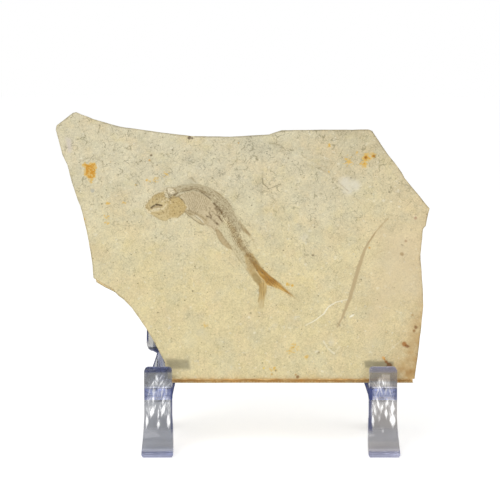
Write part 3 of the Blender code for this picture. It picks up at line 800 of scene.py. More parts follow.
@dataclass(frozen=True)
class Limestone:
    """Fine cream limestone with drifts of tone, specks, faint veins and the fish's patterns."""

    high_tone: Rgb = (211, 202, 172)
    low_tone: Rgb = (217, 203, 158)
    right_tone: Rgb = (212, 194, 153)
    edge_rust: Rgb = (200, 142, 68)
    back_tone: Rgb = (204, 192, 158)
    fresh_tone: Rgb = (214, 192, 142)
    peach: Rgb = (220, 199, 156)
    yellow: Rgb = (216, 200, 140)
    grey_green: Rgb = (201, 197, 168)
    pale: Rgb = (228, 222, 200)
    grey: Rgb = (142, 134, 104)
    dark: Rgb = (112, 102, 74)
    rust: Rgb = (192, 146, 70)
    fine_grain: float = 0.72
    medium_grain: float = 0.24
    broad_grain: float = 0.32

    def make(self) -> bpy.types.Material:
        """Build the material.

        Returns:
            The material, which reads the mesh's face, paint, fish and zone values.
        """
        book = NodeBook("fossil_limestone")
        face = book.attribute("face")
        x, v, w = book.split(face)
        rim, side, back = book.split(book.attribute("zone"))
        colour, relief = self.stone(book, face, x, v)
        colour = self.edges(book, face, colour, rim, side, back)
        paint = book.attribute("paint", "Color")
        cover = book.attribute("paint", "Alpha") * w.step(-4.5, -1.0)
        fine = book.cloud(face, 0.55, 2.0, 0.6)
        shown = (cover * (0.86 + fine * 0.28)).step(0.0, 1.0) * 0.35 + cover * 0.65
        colour = book.mix(shown, colour, paint)
        colour, lines = self.fish_patterns(book, face, colour, side + back)
        height = relief + lines
        bump = book.signal("ShaderNodeBump", 0, {}, {"Strength": 0.55, "Distance": 0.00035, "Height": height})
        rough = book.cloud(face, 3.0) * 0.1 + 0.74
        varying = {"Base Color": colour, "Roughness": rough, "Normal": bump}
        return book.finish(book.node("ShaderNodeBsdfPrincipled", {}, {**varying, "Specular IOR Level": 0.3}))

    def stone(self, book: NodeBook, face: Signal, x: Signal, v: Signal) -> tuple[Signal, Signal]:
        """Bare stone with its stains.

        Args:
            book: The material's nodes.
            face: Face place.
            x: Its first part.
            v: Its second part.

        Returns:
            Colour and height.
        """
        rusty, greyed, paled = book.split(book.attribute("stain"))
        drift = book.cloud(face, 22.0, 2.0) - 0.5
        upward = (v + drift * 70.0).step(30.0, 95.0)
        colour = book.mix(upward, linear(self.low_tone), linear(self.high_tone))
        rightward = (x + drift * 50.0).step(30.0, 80.0)
        shade = (x + drift * 24.0).step(14.0, 40.0) * (v + drift * 24.0).step(70.0, 94.0)
        colour = book.coats(colour, (rightward * 0.8, self.right_tone), (shade * 0.5, (192, 178, 142)))
        for shift, size, low, high, share, tone in (
            (31.0, 12.0, 0.46, 0.66, 0.33, self.peach),
            (57.0, 7.5, 0.52, 0.70, 0.24, self.yellow),
            (83.0, 10.0, 0.46, 0.66, 0.30, self.grey_green),
            (44.0, 2.4, 0.54, 0.72, 0.20, self.peach),
            (12.0, 2.0, 0.60, 0.72, 0.50, self.pale),
        ):
            place = book.shifted(face, (shift, -shift, 0.0))
            patch = book.cloud(place, size, 3.0, 0.6).step(low, high)
            colour = book.coats(colour, (patch * share, tone))
        broad = book.cloud(face, 9.0, 2.0) - 0.5
        medium = book.cloud(face, 1.9, 2.0, 0.6) - 0.5
        fine = book.cloud(face, 0.55, 2.0, 0.7) - 0.5
        light = broad * self.broad_grain + medium * self.medium_grain + fine * self.fine_grain + 0.985
        colour = book.mix(1.0, colour, light, "MULTIPLY")
        upper = upward * 0.6 + 0.4
        small, large = self.curls(book, face, 1.7, 4.0, 0.54), self.curls(book, face, 4.4, 7.0, 0.50)
        curls = (small * 0.62 + large * 0.68) * upper
        close = self.curls(book, book.shifted(face, (0.0, 50.0, 0.0)), 1.5, 1.2, 0.36)
        chalk = (paled + (book.cloud(face, 1.3, 3.0, 0.7) - 0.5) * 1.2 * paled).step(0.2, 1.0)
        rings = self.rings(book, face, 7.5, 0.95) * 0.35 + self.rings(book, face, 3.4, 0.5) * 0.4
        dots = self.dots(book, face, 1.7, 0.2, 0.34) + self.dots(book, face, 4.6, 0.34, 0.3)
        flecks = self.dots(book, book.shifted(face, (3.0, 9.0, 0.0)), 2.6, 0.26, 0.3)
        amber = self.dots(book, book.shifted(face, (7.0, 3.0, 0.0)), 6.5, 0.42, 0.22)
        spread = rusty + (book.cloud(face, 1.1, 3.0, 0.8) - 0.5) * 2.8 * rusty.step(0.0, 0.3)
        colour = book.coats(
            colour,
            (curls, self.grey),
            (greyed * 0.4, (187, 181, 157)),
            (close * greyed * 0.95, (124, 118, 98)),
            (chalk * 0.66, (220, 215, 198)),
            (rings, self.grey),
            (dots * 0.62, self.dark),
            (flecks * 0.5, self.pale),
            (amber * 0.6, self.rust),
            (spread.step(0.34, 0.72) * 0.85, (218, 180, 90)),
            (spread.step(0.72, 1.15) * 0.9, (200, 138, 34)),
        )
        relief = fine * 0.5 + medium * 0.6 - dots * 0.8 - curls * 0.4
        return colour, relief

    def scattered(
        self, book: NodeBook, face: Signal, bend: float, wander: float, cell: float
    ) -> tuple[Signal, Signal, Signal]:
        """Scattered places, one in each cell of a bent net.

        Args:
            book: The material's nodes.
            face: Face place.
            bend: Size of the bends in mm.
            wander: How far they reach.
            cell: Distance between the places in mm.

        Returns:
            Distance from the nearest place in mm, and that place's chance and weight from 0 to 1.
        """
        bent = book.shifted(face, book.scaled(book.cloud_colour(face, bend), (wander,) * 3))
        cells = book.node("ShaderNodeTexVoronoi", {"feature": "F1"}, {"Vector": bent, "Scale": 1.0 / cell})
        chance, weight, _ = book.split(Signal(book, cells.outputs["Color"]))
        return Signal(book, cells.outputs["Distance"]) * cell, chance, weight

    def rings(self, book: NodeBook, face: Signal, cell: float, radius: float) -> Signal:
        """Small broken rings, like the outlines of grains, up to this radius in mm."""
        reach, chance, weight = self.scattered(book, face, 1.6, 0.9, cell)
        away = reach - (weight * 0.5 + 0.5) * radius
        broken = book.cloud(face, 0.8, 2.0).step(0.40, 0.56)
        return away.absolute().step(0.22, 0.06) * chance.step(0.6, 0.66) * broken

    def dots(self, book: NodeBook, face: Signal, cell: float, size: float, share: float) -> Signal:
        """Scattered specks up to this size in mm, in a share of the places."""
        reach, chance, weight = self.scattered(book, face, 0.7, 0.45, cell)
        reach = reach / (weight * 0.9 + 0.35)
        return reach.step(size * 1.5, size * 0.7) * chance.step(0.99 - share, 1.01 - share)

    def curls(self, book: NodeBook, face: Signal, size: float, spread: float, least: float) -> Signal:
        """Short thin curved lines.

        Args:
            book: The material's nodes.
            face: Face place.
            size: Width of one curl in mm.
            spread: Width of the groups that they lie in.
            least: How rare the groups are, from 0 to 1.

        Returns:
            1 on a line, 0 elsewhere.
        """
        bent = book.shifted(face, book.scaled(book.cloud_colour(face, size * 0.8), (size * 0.6,) * 3))
        thin = 0.05 / size
        drawn = (book.cloud(bent, size, 1.0) - 0.5).absolute().step(thin * 1.5, thin * 0.4)
        broken = book.cloud(face, size * 0.6, 2.0, 0.6).step(0.38, 0.50)
        return drawn * broken * book.cloud(bent, spread, 2.0).step(least - 0.06, least + 0.08)

    def edges(
        self, book: NodeBook, face: Signal, colour: Signal, rim: Signal, side: Signal, back: Signal
    ) -> Signal:
        """Broken sides and the back, over the bare stone."""
        _, v, w = book.split(face)
        layers = book.cloud(book.scaled(face, (0.16, 0.16, 1.3)), 1.0, 3.0, 0.6) - 0.5
        uneven = book.cloud(book.scaled(face, (1.0, 1.0, 0.3)), 2.6, 3.0, 0.7) - 0.5
        deep = (w * -0.12 + layers * 1.0 + uneven * 2.2).step(0.0, 1.0)
        tone = book.mix(deep, linear((248, 212, 142)), linear((178, 138, 82)))
        rust = book.cloud(face, 7.0, 3.0).step(0.52, 0.66)
        fresh = (v + book.cloud(face, 5.0) * 4.0).step(2.5, 5.5)
        tone = book.coats(tone, (rust * 0.5, self.edge_rust), (fresh * 0.85, self.fresh_tone))
        rubbed = (rim + (book.cloud(face, 1.4, 2.0) - 0.5) * 1.4).step(0.6, 0.0)
        colour = book.coats(colour, (rubbed * 0.25, (196, 174, 128)))
        rough_back = book.mix(book.cloud(face, 6.0, 3.0), linear((184, 168, 128)), linear(self.back_tone))
        return book.mix(side, book.mix(back * 0.55, colour, rough_back), tone)

    def fish_patterns(
        self, book: NodeBook, face: Signal, colour: Signal, hidden: Signal
    ) -> tuple[Signal, Signal]:
        """Ribs, backbone and fin rays.

        Args:
            book: The material's nodes.
            face: Face place.
            colour: What they lie on.
            hidden: 1 on the sides and the back, 0 on the front.

        Returns:
            Colour and height.
        """
        along, across, depth = book.split(book.attribute("fish"))
        depth = depth - hidden * 20.0
        x, v, _ = book.split(face)
        inside = depth.step(-0.2, 0.9)
        wobble = (book.cloud(face, 1.3, 2.0, 0.6) - 0.5) * 1.3
        broken = book.cloud(face, 0.75, 2.0, 0.7)
        lean = across.absolute() * -0.75
        bones = (along + lean + wobble).wave(0.8)
        close = across.absolute().step(2.4, 0.6)
        rear, front = along.step(21.0, 27.0), along.step(6.0, 9.0)
        ends = along.step(46.0, 42.0)
        chain = bones.step(0.45, 0.8) * close * inside * (0.35 + 0.65 * rear) * broken.step(0.36, 0.56) * ends
        gaps = bones.step(0.3, 0.05) * close * rear * inside * ends
        ribs = (along + across * 0.35 + wobble * 0.35).wave(0.82)
        below = across.step(-0.6, -1.4) * across.step(-11.0, -8.5) * inside * front * along.step(23.0, 19.0)
        rib = ribs.step(0.55, 0.95) * below * broken.step(0.30, 0.48)
        scales = book.cloud(book.join(along * 0.8, across * 2.1, 0.0), 1.0, 2.0, 0.7)
        above = across.step(0.2, 0.8) * inside * (across.step(5.5, 0.4) * 0.4 + 0.35)
        head = inside * along.step(7.5, 5.5) * x.step(-21.5, -22.5)
        bits = book.cloud(face, 0.62, 3.0, 0.75)
        body = inside * (1.0 - head) * v.step(42.0, 48.0)
        down_right, across_lobe = x * 0.78 - v * 0.62, x * 0.62 + v * 0.78
        upper_rays = book.cloud(book.join(down_right * 0.22, across_lobe * 2.2, 0.0), 1.0)
        lower_rays = book.cloud(book.join((x - v * 0.1) * 2.2, v * 0.22, 7.0), 1.0)
        low = v.step(40.0, 38.5) * x.step(11.0, 9.5)
        rays = upper_rays * (1.0 - low) + lower_rays * low
        lobe = x.step(5.0, 9.0) * v.step(46.0, 43.0) * depth.step(-0.4, 0.4)
        colour = book.coats(
            colour,
            (chain * 0.75, (128, 101, 60)),
            (gaps * 0.35, (222, 208, 168)),
            (rib * 0.42, (146, 124, 88)),
            (scales.step(0.48, 0.62) * above, (126, 106, 72)),
            (bits.step(0.53, 0.66) * head * 0.6, (140, 112, 62)),
            (bits.step(0.45, 0.34) * head * 0.45, (222, 206, 160)),
            (bits.step(0.50, 0.64) * body * 0.42, (128, 106, 68)),
            (bits.step(0.44, 0.32) * body * 0.3, (220, 206, 168)),
            (rays.step(0.50, 0.64) * lobe * 0.5, (138, 98, 40)),
            (rays.step(0.46, 0.36) * lobe * 0.4, (214, 178, 106)),
        )
        return colour, chain * 0.5 + rib * 0.5 - bits * inside * 0.4


# Painted highlight streaks in the right half's strap: across, height, half width, half height, lean and
# strength.
RIGHT_GLINT_SHAPES = (
    (-3.8, 12.6, 1.5, 3.2, 0, 1), (-3.7, 17.2, 0.9, 2.6, 0.15, 0.8), (-1.3, 15.2, 0.65, 2.4, 0, 1),
    (0.4, 17.2, 0.6, 2.4, 0.3, 0.9), (1.9, 19, 0.6, 3, -0.2, 0.85), (-1.4, 19.4, 0.6, 2.6, 0.25, 0.7),
    (4, 12.4, 0.9, 2.4, 0, 0.95), (4.5, 16.2, 0.6, 3, 0.1, 0.7), (3.1, 16.6, 0.5, 2.8, -0.15, 0.65),
    (1.4, 13.4, 0.5, 1.8, 0.2, 0.5), (2.1, 24.4, 0.4, 2.4, 0.3, 0.75), (0.9, 24.8, 0.4, 2.6, -0.3, 0.75),
    (-1.2, 24.6, 0.4, 2.4, 0.3, 0.75), (-2.6, 24.2, 0.4, 2.4, -0.3, 0.6), (1.4, 28.2, 0.5, 1.8, 0.1, 0.6),
    (0, 27.4, 0.35, 2, -0.3, 0.7), (0.2, 9, 0.5, 1, 0.2, 0.35),
)


@dataclass(frozen=True)
class ClearPlastic:
    """Clear moulded plastic with painted violet edges, painted glow and pale painted highlight streaks in its
    straps.

    Attributes:
        inward: 1 where the middle of the slab lies toward +x, -1 where it lies toward -x.
        near_side: Width of the painted dark stripe along the inner side of the strap, in mm.
        pale_glow_patch: How strong the painted pale, glowing patch in the lip is.
        rim_share: How much of the lip's painted top edge is violet and dark, against how much of it glows.
        bare: Where the stone begins behind the paddle, as a slanted height in mm; the paddle's painted
            through-light starts there.
        ior: How strongly the plastic bends light.
        roughness: How frosted it is where it is clearest.
        density: How strongly thick plastic takes on the depth colour.
        painted_glow_strength: How bright the painted glow is, in the highlight streaks and everywhere else.
        lip_glare: How much painted glare, a pale glow, lies over the lip.
        strap_back: Where the front strap ends, from front to back, in mm.
        band_low: Height of the violet band's lower edge, at the shelf.
        band_high: Height of its upper edge.
        rim_height: Height at which the lip's violet top begins.
        paddle_height: Height at which the back rest's flat paddle begins.
        glint_shapes: Painted highlight streaks as across, height, half width, half height, lean and strength.
    """

    inward: float = 1.0
    near_side: float = 0.5
    pale_glow_patch: float = 0.0
    rim_share: float = 0.85
    bare: float = 39.5
    ior: float = 1.49
    roughness: float = 0.04
    clear_colour: Rgb = (0.38, 0.39, 0.41)
    paddle_colour: Rgb = (0.36, 0.35, 0.32)
    through_light_colour: Rgb = (0.80, 0.80, 0.78)
    foot_shade_colour: Rgb = (0.21, 0.22, 0.25)
    glint_colour: Rgb = (0.92, 0.92, 0.89)
    violet: Rgb = (0.15, 0.18, 0.36)
    deep_violet: Rgb = (0.06, 0.075, 0.19)
    band_colour: Rgb = (0.34, 0.41, 0.82)
    depth_colour: Rgb = (0.47, 0.51, 0.78)
    density: float = 26.0
    painted_glow_strength: float = 0.42
    lip_glare: float = 0.13
    strap_back: float = -17.0
    band_low: float = 20.6
    band_high: float = 25.5
    rim_height: float = 31.3
    paddle_height: float = 38.0
    glint_shapes: Rows = (
        (-2.4, 15.8, 0.95, 2.8, 0.24, 1), (1.9, 16.6, 0.85, 3.2, 0.26, 1), (0, 15, 0.35, 3.2, 0, 0.9),
        (-1.2, 17.8, 0.3, 2, 0.25, 0.7), (0.7, 17.4, 0.3, 1.8, -0.25, 0.7), (0.1, 11, 0.75, 1.6, 0, 1),
        (-4.5, 12, 0.9, 3, 0.08, 1), (4, 12, 0.85, 3.2, -0.1, 1), (1.9, 20, 0.45, 2.2, 0.1, 0.8),
        (-1.8, 20.8, 0.5, 1.6, 0, 0.8), (-0.4, 29.2, 0.55, 1.8, -0.35, 0.75), (1.1, 29.6, 0.3, 1.6, 0.6, 0.4),
        (1.3, 27.4, 0.4, 1.7, 0.6, 0.6), (-2, 27.2, 0.4, 2, 0.5, 0.6), (-0.6, 27.3, 0.35, 2, -0.35, 0.55),
        (-1.7, 24, 0.7, 2.4, 0.05, 0.75), (1.6, 24, 0.55, 2.4, 0.15, 0.65), (0.1, 24, 0.3, 2.2, 0.1, 0.5),
        (3.2, 24.4, 0.5, 1.8, -0.1, 0.5), (-3.4, 23.8, 0.35, 2.6, 0.2, 0.5),
    )

    def make(self, name: str, middle: float) -> bpy.types.Material:
        """Build the material.

        Args:
            name: The material's name.
            middle: Where the strap's middle lies across, in mm.

        Returns:
            The material.
        """
        book = NodeBook(name)
        place = book.scaled(book.signal("ShaderNodeTexCoord", "Object", {}, {}), (1000.0, 1000.0, 1000.0))
        x, y, z = book.split(place)
        toward = (x - middle) * self.inward
        strap = self.strap(y)
        rest = 1.0 - strap
        # Painted highlights: pale upright streaks in the strap.
        glint_streaks = self.glint_streaks(book, toward, y, z)
        paddle = z.step(self.paddle_height, self.paddle_height + 1.5) * rest
        colour = book.mix(paddle, self.clear_colour, self.paddle_colour)
        # Painted light: above the bare line the paddle gets a pale colour and a warm glow, standing in for
        # light passing through it to the stone.
        behind = (z + toward * 2.2).step(self.bare, self.bare + 3.0) * z.step(36.0, 40.0) * rest
        colour = book.mix(behind, colour, self.through_light_colour)
        # Painted reflections: violet on the lip's top edge and on the low sole.
        rim = z.step(self.rim_height, self.rim_height + 0.7) * strap
        sole = z.within(0.1, 0.5, 1.2, 1.9) * strap
        colour = book.mix(rim * self.rim_share + sole * 0.2, colour, self.violet)
        # Painted reflection: the blue band at the shelf's height, with a blue glow added below.
        band = self.band(z) * strap
        colour = book.mix(band, colour, self.band_colour)
        # Painted light: a pale patch in the lip, with a little glow, standing in for the lit stone seen
        # through it.
        patch = toward.within(-2.9, -2.3, 0.3, 0.9) * z.within(26.0, 26.6, 30.4, 31.0)
        patch = patch * strap * (book.cloud(place, 0.7, 3.0, 0.7) * 0.8 + 0.3) * self.pale_glow_patch
        # Painted shade: the foot is darkened where the thick plastic looks dark.
        foot = z.within(2.6, 4.0, 8.5, 10.5) * strap
        colour = book.mix(foot * 0.6, colour, self.foot_shade_colour)
        # The painted highlight streaks and the painted pale patch go into the base colour.
        colour = book.mix(glint_streaks + patch, colour, self.glint_colour)
        # Painted shade: dark violet on the rims and sides, where the clear plastic would look dark.
        edges = self.edges(book, toward, y, z)
        ripple = book.cloud(book.scaled(place, (1.0, 1.0, 0.16)), 2.0, 2.0) * 0.2 + glint_streaks * 0.12
        bump = book.signal("ShaderNodeBump", 0, {}, {"Strength": 0.25, "Distance": 0.0005, "Height": ripple})
        lip = z.within(20.4, 20.8, 31.2, 31.8) * strap
        # Painted glow at the low edge, where the plastic would look dark.
        low_rim = z.step(1.1, 0.7) * strap
        leg = z.within(7.0, 10.0, 19.5, 21.5) * strap
        frost = leg * 0.24 + lip * 0.06 + self.roughness
        # Painted glow, in the emission: violet at the lip's top and low edge, blue in the band, warm on the
        # paddle, and white in the highlight streaks, the pale patch and the lip's glare.
        glow = book.mix(rim * (0.9 - self.rim_share) * 1.5 + low_rim, (0.0, 0.0, 0.0), (0.34, 0.35, 0.46))
        glow = book.mix(band * 0.5, glow, (0.30, 0.38, 0.75))
        glow = book.mix(behind, glow, (0.30, 0.28, 0.21))
        # Painted highlights and glare: white glow in the highlight streaks, the pale patch and over the lip.
        glow = book.mix(glint_streaks + patch * 0.3 + lip * self.lip_glare, glow, (1.0, 1.0, 0.98))
        varying = {"Normal": bump, "Base Color": colour, "Emission Color": glow, "Roughness": frost}
        fixed = {"Emission Strength": self.painted_glow_strength, "IOR": self.ior, "Transmission Weight": 1.0}
        clear = book.node("ShaderNodeBsdfPrincipled", {}, varying | fixed)
        # Matt dark violet for the painted shade at the edges.
        matt = {"Base Color": (*self.deep_violet, 1.0), "Roughness": 0.3, "Specular IOR Level": 0.0}
        dark = book.node("ShaderNodeBsdfPrincipled", {}, matt)
        sockets = {0: edges, 1: Signal(book, clear.outputs[0]), 2: Signal(book, dark.outputs[0])}
        both = book.node("ShaderNodeMixShader", {}, sockets)
        depth = {"Color": (*self.depth_colour, 1.0), "Density": self.density}
        return book.finish(both, book.node("ShaderNodeVolumeAbsorption", {}, depth))

    def strap(self, y: Signal) -> Signal:
        """1 in the front strap, 0 behind it."""
        return y.step(self.strap_back, self.strap_back - 1.0)

    def band(self, z: Signal) -> Signal:
        """1 at the heights of the violet band."""
        return z.within(self.band_low, self.band_low + 0.5, self.band_high - 0.5, self.band_high)

    def edges(self, book: NodeBook, toward: Signal, y: Signal, z: Signal) -> Signal:
        """How much painted shade, a dark violet, lies on the rims and sides.

        Args:
            book: The material's nodes.
            toward: Place from the strap's middle toward the middle of the slab, in mm.
            y: Place from front to back.
            z: Height.

        Returns:
            0 where the plastic is clear, more toward its edges.
        """
        across = toward.absolute()
        strap = self.strap(y)
        rest = 1.0 - strap
        uneven = book.cloud(book.join(toward, y, z * 0.3), 1.3, 2.0, 0.6) * 0.8 + 0.4
        rim = z.step(31.4, 32.2) * strap * (self.rim_share * 0.4)
        stripe = toward.step(5.4 - self.near_side, 5.6 - self.near_side) * z.within(7.0, 10.0, 25.0, 27.0)
        stripe = stripe * strap * 0.75
        ends = across.step(2.8, 4.8) * self.band(z) * strap * 0.6
        shelf = across.step(4.9, 5.2) * z.within(20.0, 20.6, 26.0, 27.0) * rest * 1.2
        outline = (z - 23.6) * -0.32 + 5.0
        neck = (across - outline).step(-0.45, -0.15) * z.within(26.0, 27.0, 37.6, 38.2) * rest * 0.9
        corner = (across - 2.8).maths("MAXIMUM", across - 2.8, 0.0) ** 2.0
        low = (z * -1.0 + 41.4).maths("MAXIMUM", z * -1.0 + 41.4, 0.0) ** 2.0
        paddle = ((corner + low) ** 0.5).step(1.7, 2.2) * z.step(39.0, 42.0) * rest * 1.1
        return (rim + stripe + ends + shelf + neck + paddle) * uneven

    def glint_streaks(self, book: NodeBook, toward: Signal, y: Signal, z: Signal) -> Signal:
        """Painted highlight streaks, pale and upright, in the strap: the named ones and fine ones at its
        sides.

        Args:
            book: The material's nodes.
            toward: Place from the strap's middle toward the middle of the slab, in mm.
            y: Place from front to back.
            z: Height.

        Returns:
            1 in a painted highlight streak, 0 elsewhere.
        """
        warp = (book.cloud(book.join(toward, 3.7, z * 0.4), 0.8, 3.0, 0.7) - 0.5) * 1.2
        flat = book.join(toward + warp, 0.0, z + warp * 1.5)
        total = z * 0.0
        for place, height, wide, tall, lean, strength in self.glint_shapes:
            sockets = {
                "Vector": flat,
                "Location": (place, 0.0, height),
                "Rotation": (0.0, lean * self.inward, 0.0),
                "Scale": (wide, 1.0, tall),
            }
            near = book.signal("ShaderNodeMapping", 0, {"vector_type": "TEXTURE"}, sockets)
            size = book.signal("ShaderNodeVectorMath", 0, {"operation": "ABSOLUTE"}, {0: near})
            reach = book.signal(
                "ShaderNodeVectorMath", "Value", {"operation": "DOT_PRODUCT"}, {0: size, 1: (1.0, 0.0, 1.0)}
            )
            total = total.maths("MAXIMUM", total, reach.step(1.1, 0.5) * strength)
        across = toward.absolute()
        # Fine painted highlight streaks: at the strap's sides, in a strip just below the shelf and in a tree
        # shape above it.
        fine = book.cloud(book.join(toward * 3.2, 8.1, z * 0.45), 1.0, 3.0, 0.65)
        sides = across.step(1.6, 3.2) * z.within(12.5, 15.0, 20.4, 21.6)
        under = z.within(17.5, 19.5, 20.8, 21.6)
        tree = (across * 1.4 + z).step(32.0, 29.0) * z.step(20.6, 21.2) * 0.5
        fine_glints = fine.step(0.49, 0.61) * (sides * 0.9 + under * 0.25 + tree) * 0.7
        edge = across.step(5.0, 4.6)
        front = y.step(-8.0, -10.0)
        return (total * (fine * 0.5 + 0.62) + fine_glints) * edge * front


# ---------------------------------------------------------------------------
# Pieces


def merged_copy(node: str) -> bmesh.types.BMesh:
    """A bmesh of a CAD node with its loose triangles joined."""
    solid = bpy.data.objects[node]
    bm = bmesh.new()
    bm.from_mesh(solid.data)
    bmesh.ops.remove_doubles(bm, verts=bm.verts, dist=0.00002)
    return bm


def new_piece(name: str, bm: bmesh.types.BMesh) -> bpy.types.Object:
    """An object from a bmesh, in the scene."""
    mesh = bpy.data.meshes.new(name)
    bm.to_mesh(mesh)
    bm.free()
    piece = bpy.data.objects.new(name, mesh)
    bpy.context.scene.collection.objects.link(piece)
    return piece


def vertex_places(bm: bmesh.types.BMesh) -> np.ndarray:
    """(n, 3) world points of a bmesh."""
    return np.array([vert.co[:] for vert in bm.verts])


def keep_values(mesh: bpy.types.Mesh, name: str, kind: str, values: np.ndarray) -> None:
    """Store one value for each vertex for the material to read."""
    layer = mesh.attributes.new(name, kind, "POINT")
    layer.data.foreach_set("color" if kind == "FLOAT_COLOR" else "vector", values.astype(np.float32).ravel())


class Zone(Enum):
    """The parts of the slab's surface."""

    FRONT = 0
    SIDE = 1
    BACK = 2


@dataclass
class Slab:
    """The stone slab with its fish.

    Attributes:
        face: Where the sloping face lies.
        fish: The fish on it.
        stone_marks: Stains, cracks, the stem and painted lip shadows.
        thick: Thickness of the stone, in mm.
        front_step: Length of a mesh edge on plain stone, in mm.
        fish_step: The same on the fish.
        mark_step: The same on other marks.
        line_step: The same on thin lines.
        side_step: The same on the broken sides.
        back_step: The same on the back.
        face_wave: Half the height of the face's slow waves, in mm.
        side_rough: Depth of the broken sides' hollows, in mm.
        rim_blend: Width over which the front's waves and the fish fade in from the rim, in mm.
    """

    face: SlabFace
    fish: Fish = field(default_factory=Fish)
    stone_marks: StoneMarks = field(default_factory=StoneMarks)
    thick: float = 8.5
    front_step: float = 1.05
    fish_step: float = 0.31
    mark_step: float = 0.5
    line_step: float = 0.3
    side_step: float = 0.85
    back_step: float = 2.4
    face_wave: float = 0.22
    side_rough: float = 0.45
    rim_blend: float = 1.3

    def build(self) -> bpy.types.Object:
        """Make the slab and its finish.

        Returns:
            The piece.
        """
        bm = merged_copy("slab")
        self.mark_zones(bm)
        for _ in range(5):
            self.split_long_edges(bm)
        self.carve(bm)
        piece = new_piece("fossil_slab", bm)
        self.dress(piece)
        return piece

    def mark_zones(self, bm: bmesh.types.BMesh) -> None:
        """Note on each face which zone it is in."""
        bm.normal_update()
        outward = Vector(self.face.axes()[2])
        for part in bm.faces:
            facing = part.normal.dot(outward)
            depth = self.face.to_face(np.array([part.calc_center_median()[:]]))[0, 2]
            zone = Zone.SIDE
            if facing > 0.8 and depth > -0.75:
                zone = Zone.FRONT
            elif facing < -0.8 and depth < 1.2 - self.thick:
                zone = Zone.BACK
            part.material_index = zone.value

    def edge_step(self, places: np.ndarray, zones: np.ndarray) -> np.ndarray:
        """The wanted edge length at each place.

        Args:
            places: (n, 3) face places.
            zones: Zone numbers.

        Returns:
            Lengths in mm.
        """
        step = np.where(zones == Zone.SIDE.value, self.side_step, self.front_step)
        step = np.where(zones == Zone.BACK.value, self.back_step, step)
        front = zones == Zone.FRONT.value
        flat = places[:, :2]
        wanted = np.full(len(places), self.front_step)
        for mark in self.stone_marks.marks():
            if mark.soft < 2.0:
                size = self.mark_step if mark.width > 1.6 or mark.form is Form.AREA else self.line_step
                wider = replace(mark, width=mark.width + 2.0 * size)
                near = wider.cover(flat, np.ones(len(flat)) * 0.5) > 0.0
                wanted = np.where(near, np.minimum(wanted, size), wanted)
        away = self.fish.outside(flat)
        fish_wanted = self.fish_step + np.clip(away - 1.2, 0.0, 4.0) * 0.3
        wanted = np.minimum(wanted, fish_wanted)
        return np.where(front, wanted, step)

    def split_long_edges(self, bm: bmesh.types.BMesh) -> None:
        """Halve the edges that are well over the wanted length."""
        edges = list(bm.edges)
        ends = np.array([(*edge.verts[0].co, *edge.verts[1].co) for edge in edges])
        first, second = self.face.to_face(ends[:, :3]), self.face.to_face(ends[:, 3:])
        zones = np.array([min(part.material_index for part in edge.link_faces) for edge in edges])
        length = np.linalg.norm(second - first, axis=1)
        long = length > 1.4 * self.edge_step((first + second) / 2.0, zones)
        chosen = [edge for edge, pick in zip(edges, long) if pick]
        if not chosen:
            return
        bmesh.ops.subdivide_edges(bm, edges=chosen, cuts=1, use_grid_fill=True)
        many = [part for part in bm.faces if len(part.verts) > 3]
        bmesh.ops.triangulate(bm, faces=many, quad_method="SHORT_EDGE", ngon_method="BEAUTY")

    def carve(self, bm: bmesh.types.BMesh) -> None:
        """Give the face, the broken sides and the back their relief."""
        bm.normal_update()
        places = self.face.to_face(vertex_places(bm))
        normals = np.array([vert.normal[:] for vert in bm.verts]) @ self.face.axes().T
        zones = [{part.material_index for part in vert.link_faces} for vert in bm.verts]
        front = np.array([zone == {Zone.FRONT.value} for zone in zones])
        back = np.array([zone == {Zone.BACK.value} for zone in zones])
        rim_edges = [
            (self.face.to_face(np.array([vert.co[:] for vert in edge.verts])))
            for edge in bm.edges
            if {part.material_index for part in edge.link_faces} == {Zone.FRONT.value, Zone.SIDE.value}
        ]
        self.rim = self.rim_distance(places, rim_edges)
        flat = np.column_stack((places[:, :2], np.zeros(len(places))))
        self.canvas = FaceCanvas(places)
        for mark in [*self.stone_marks.marks(), *self.fish.marks()]:
            self.canvas.lay(mark)
        slow = self.face_wave * (1.0 + grain(flat, 17.0, 1.3))
        fine = 0.05 * grain(flat, 2.8, 3.3) + 0.03 * grain(flat, 1.1, 8.2)
        height = self.fish.rise(flat[:, :2]) - slow + fine + self.canvas.height
        share = smooth_step(self.rim / self.rim_blend)
        places[:, 2] = np.where(front, places[:, 2] * (1.0 - share) + height * share, places[:, 2])
        sides = np.array([not zone & {Zone.FRONT.value, Zone.BACK.value} for zone in zones])
        strata = grain(places * (0.16, 0.16, 1.25), 1.0, 5.5) + 0.5 * grain(places, 1.6, 7.7)
        flat_normals = normals * (1.0, 1.0, 0.0)
        inward = -flat_normals / np.maximum(np.linalg.norm(flat_normals, axis=1), 0.2)[:, None]
        resting = (places[:, 1] < 0.8) & (places[:, 2] < -self.thick + 1.5)
        bite = self.side_rough * np.clip(0.5 + 0.5 * strata, 0.0, 1.0) * (sides & ~resting)
        places += inward * bite[:, None]
        hollow = 0.35 * grain(places, 9.0, 2.9) + 0.12 * grain(places, 2.6, 1.9)
        places[:, 2] += np.where(back, hollow + 0.2, 0.0)
        self.zone_masks = np.column_stack((self.rim, sides.astype(float), back.astype(float)))
        low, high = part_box("slab")
        world = np.clip(self.face.to_world(places), np.array(low), np.array(high))
        for vert, point in zip(bm.verts, world):
            vert.co = point
        self.places = self.face.to_face(world)

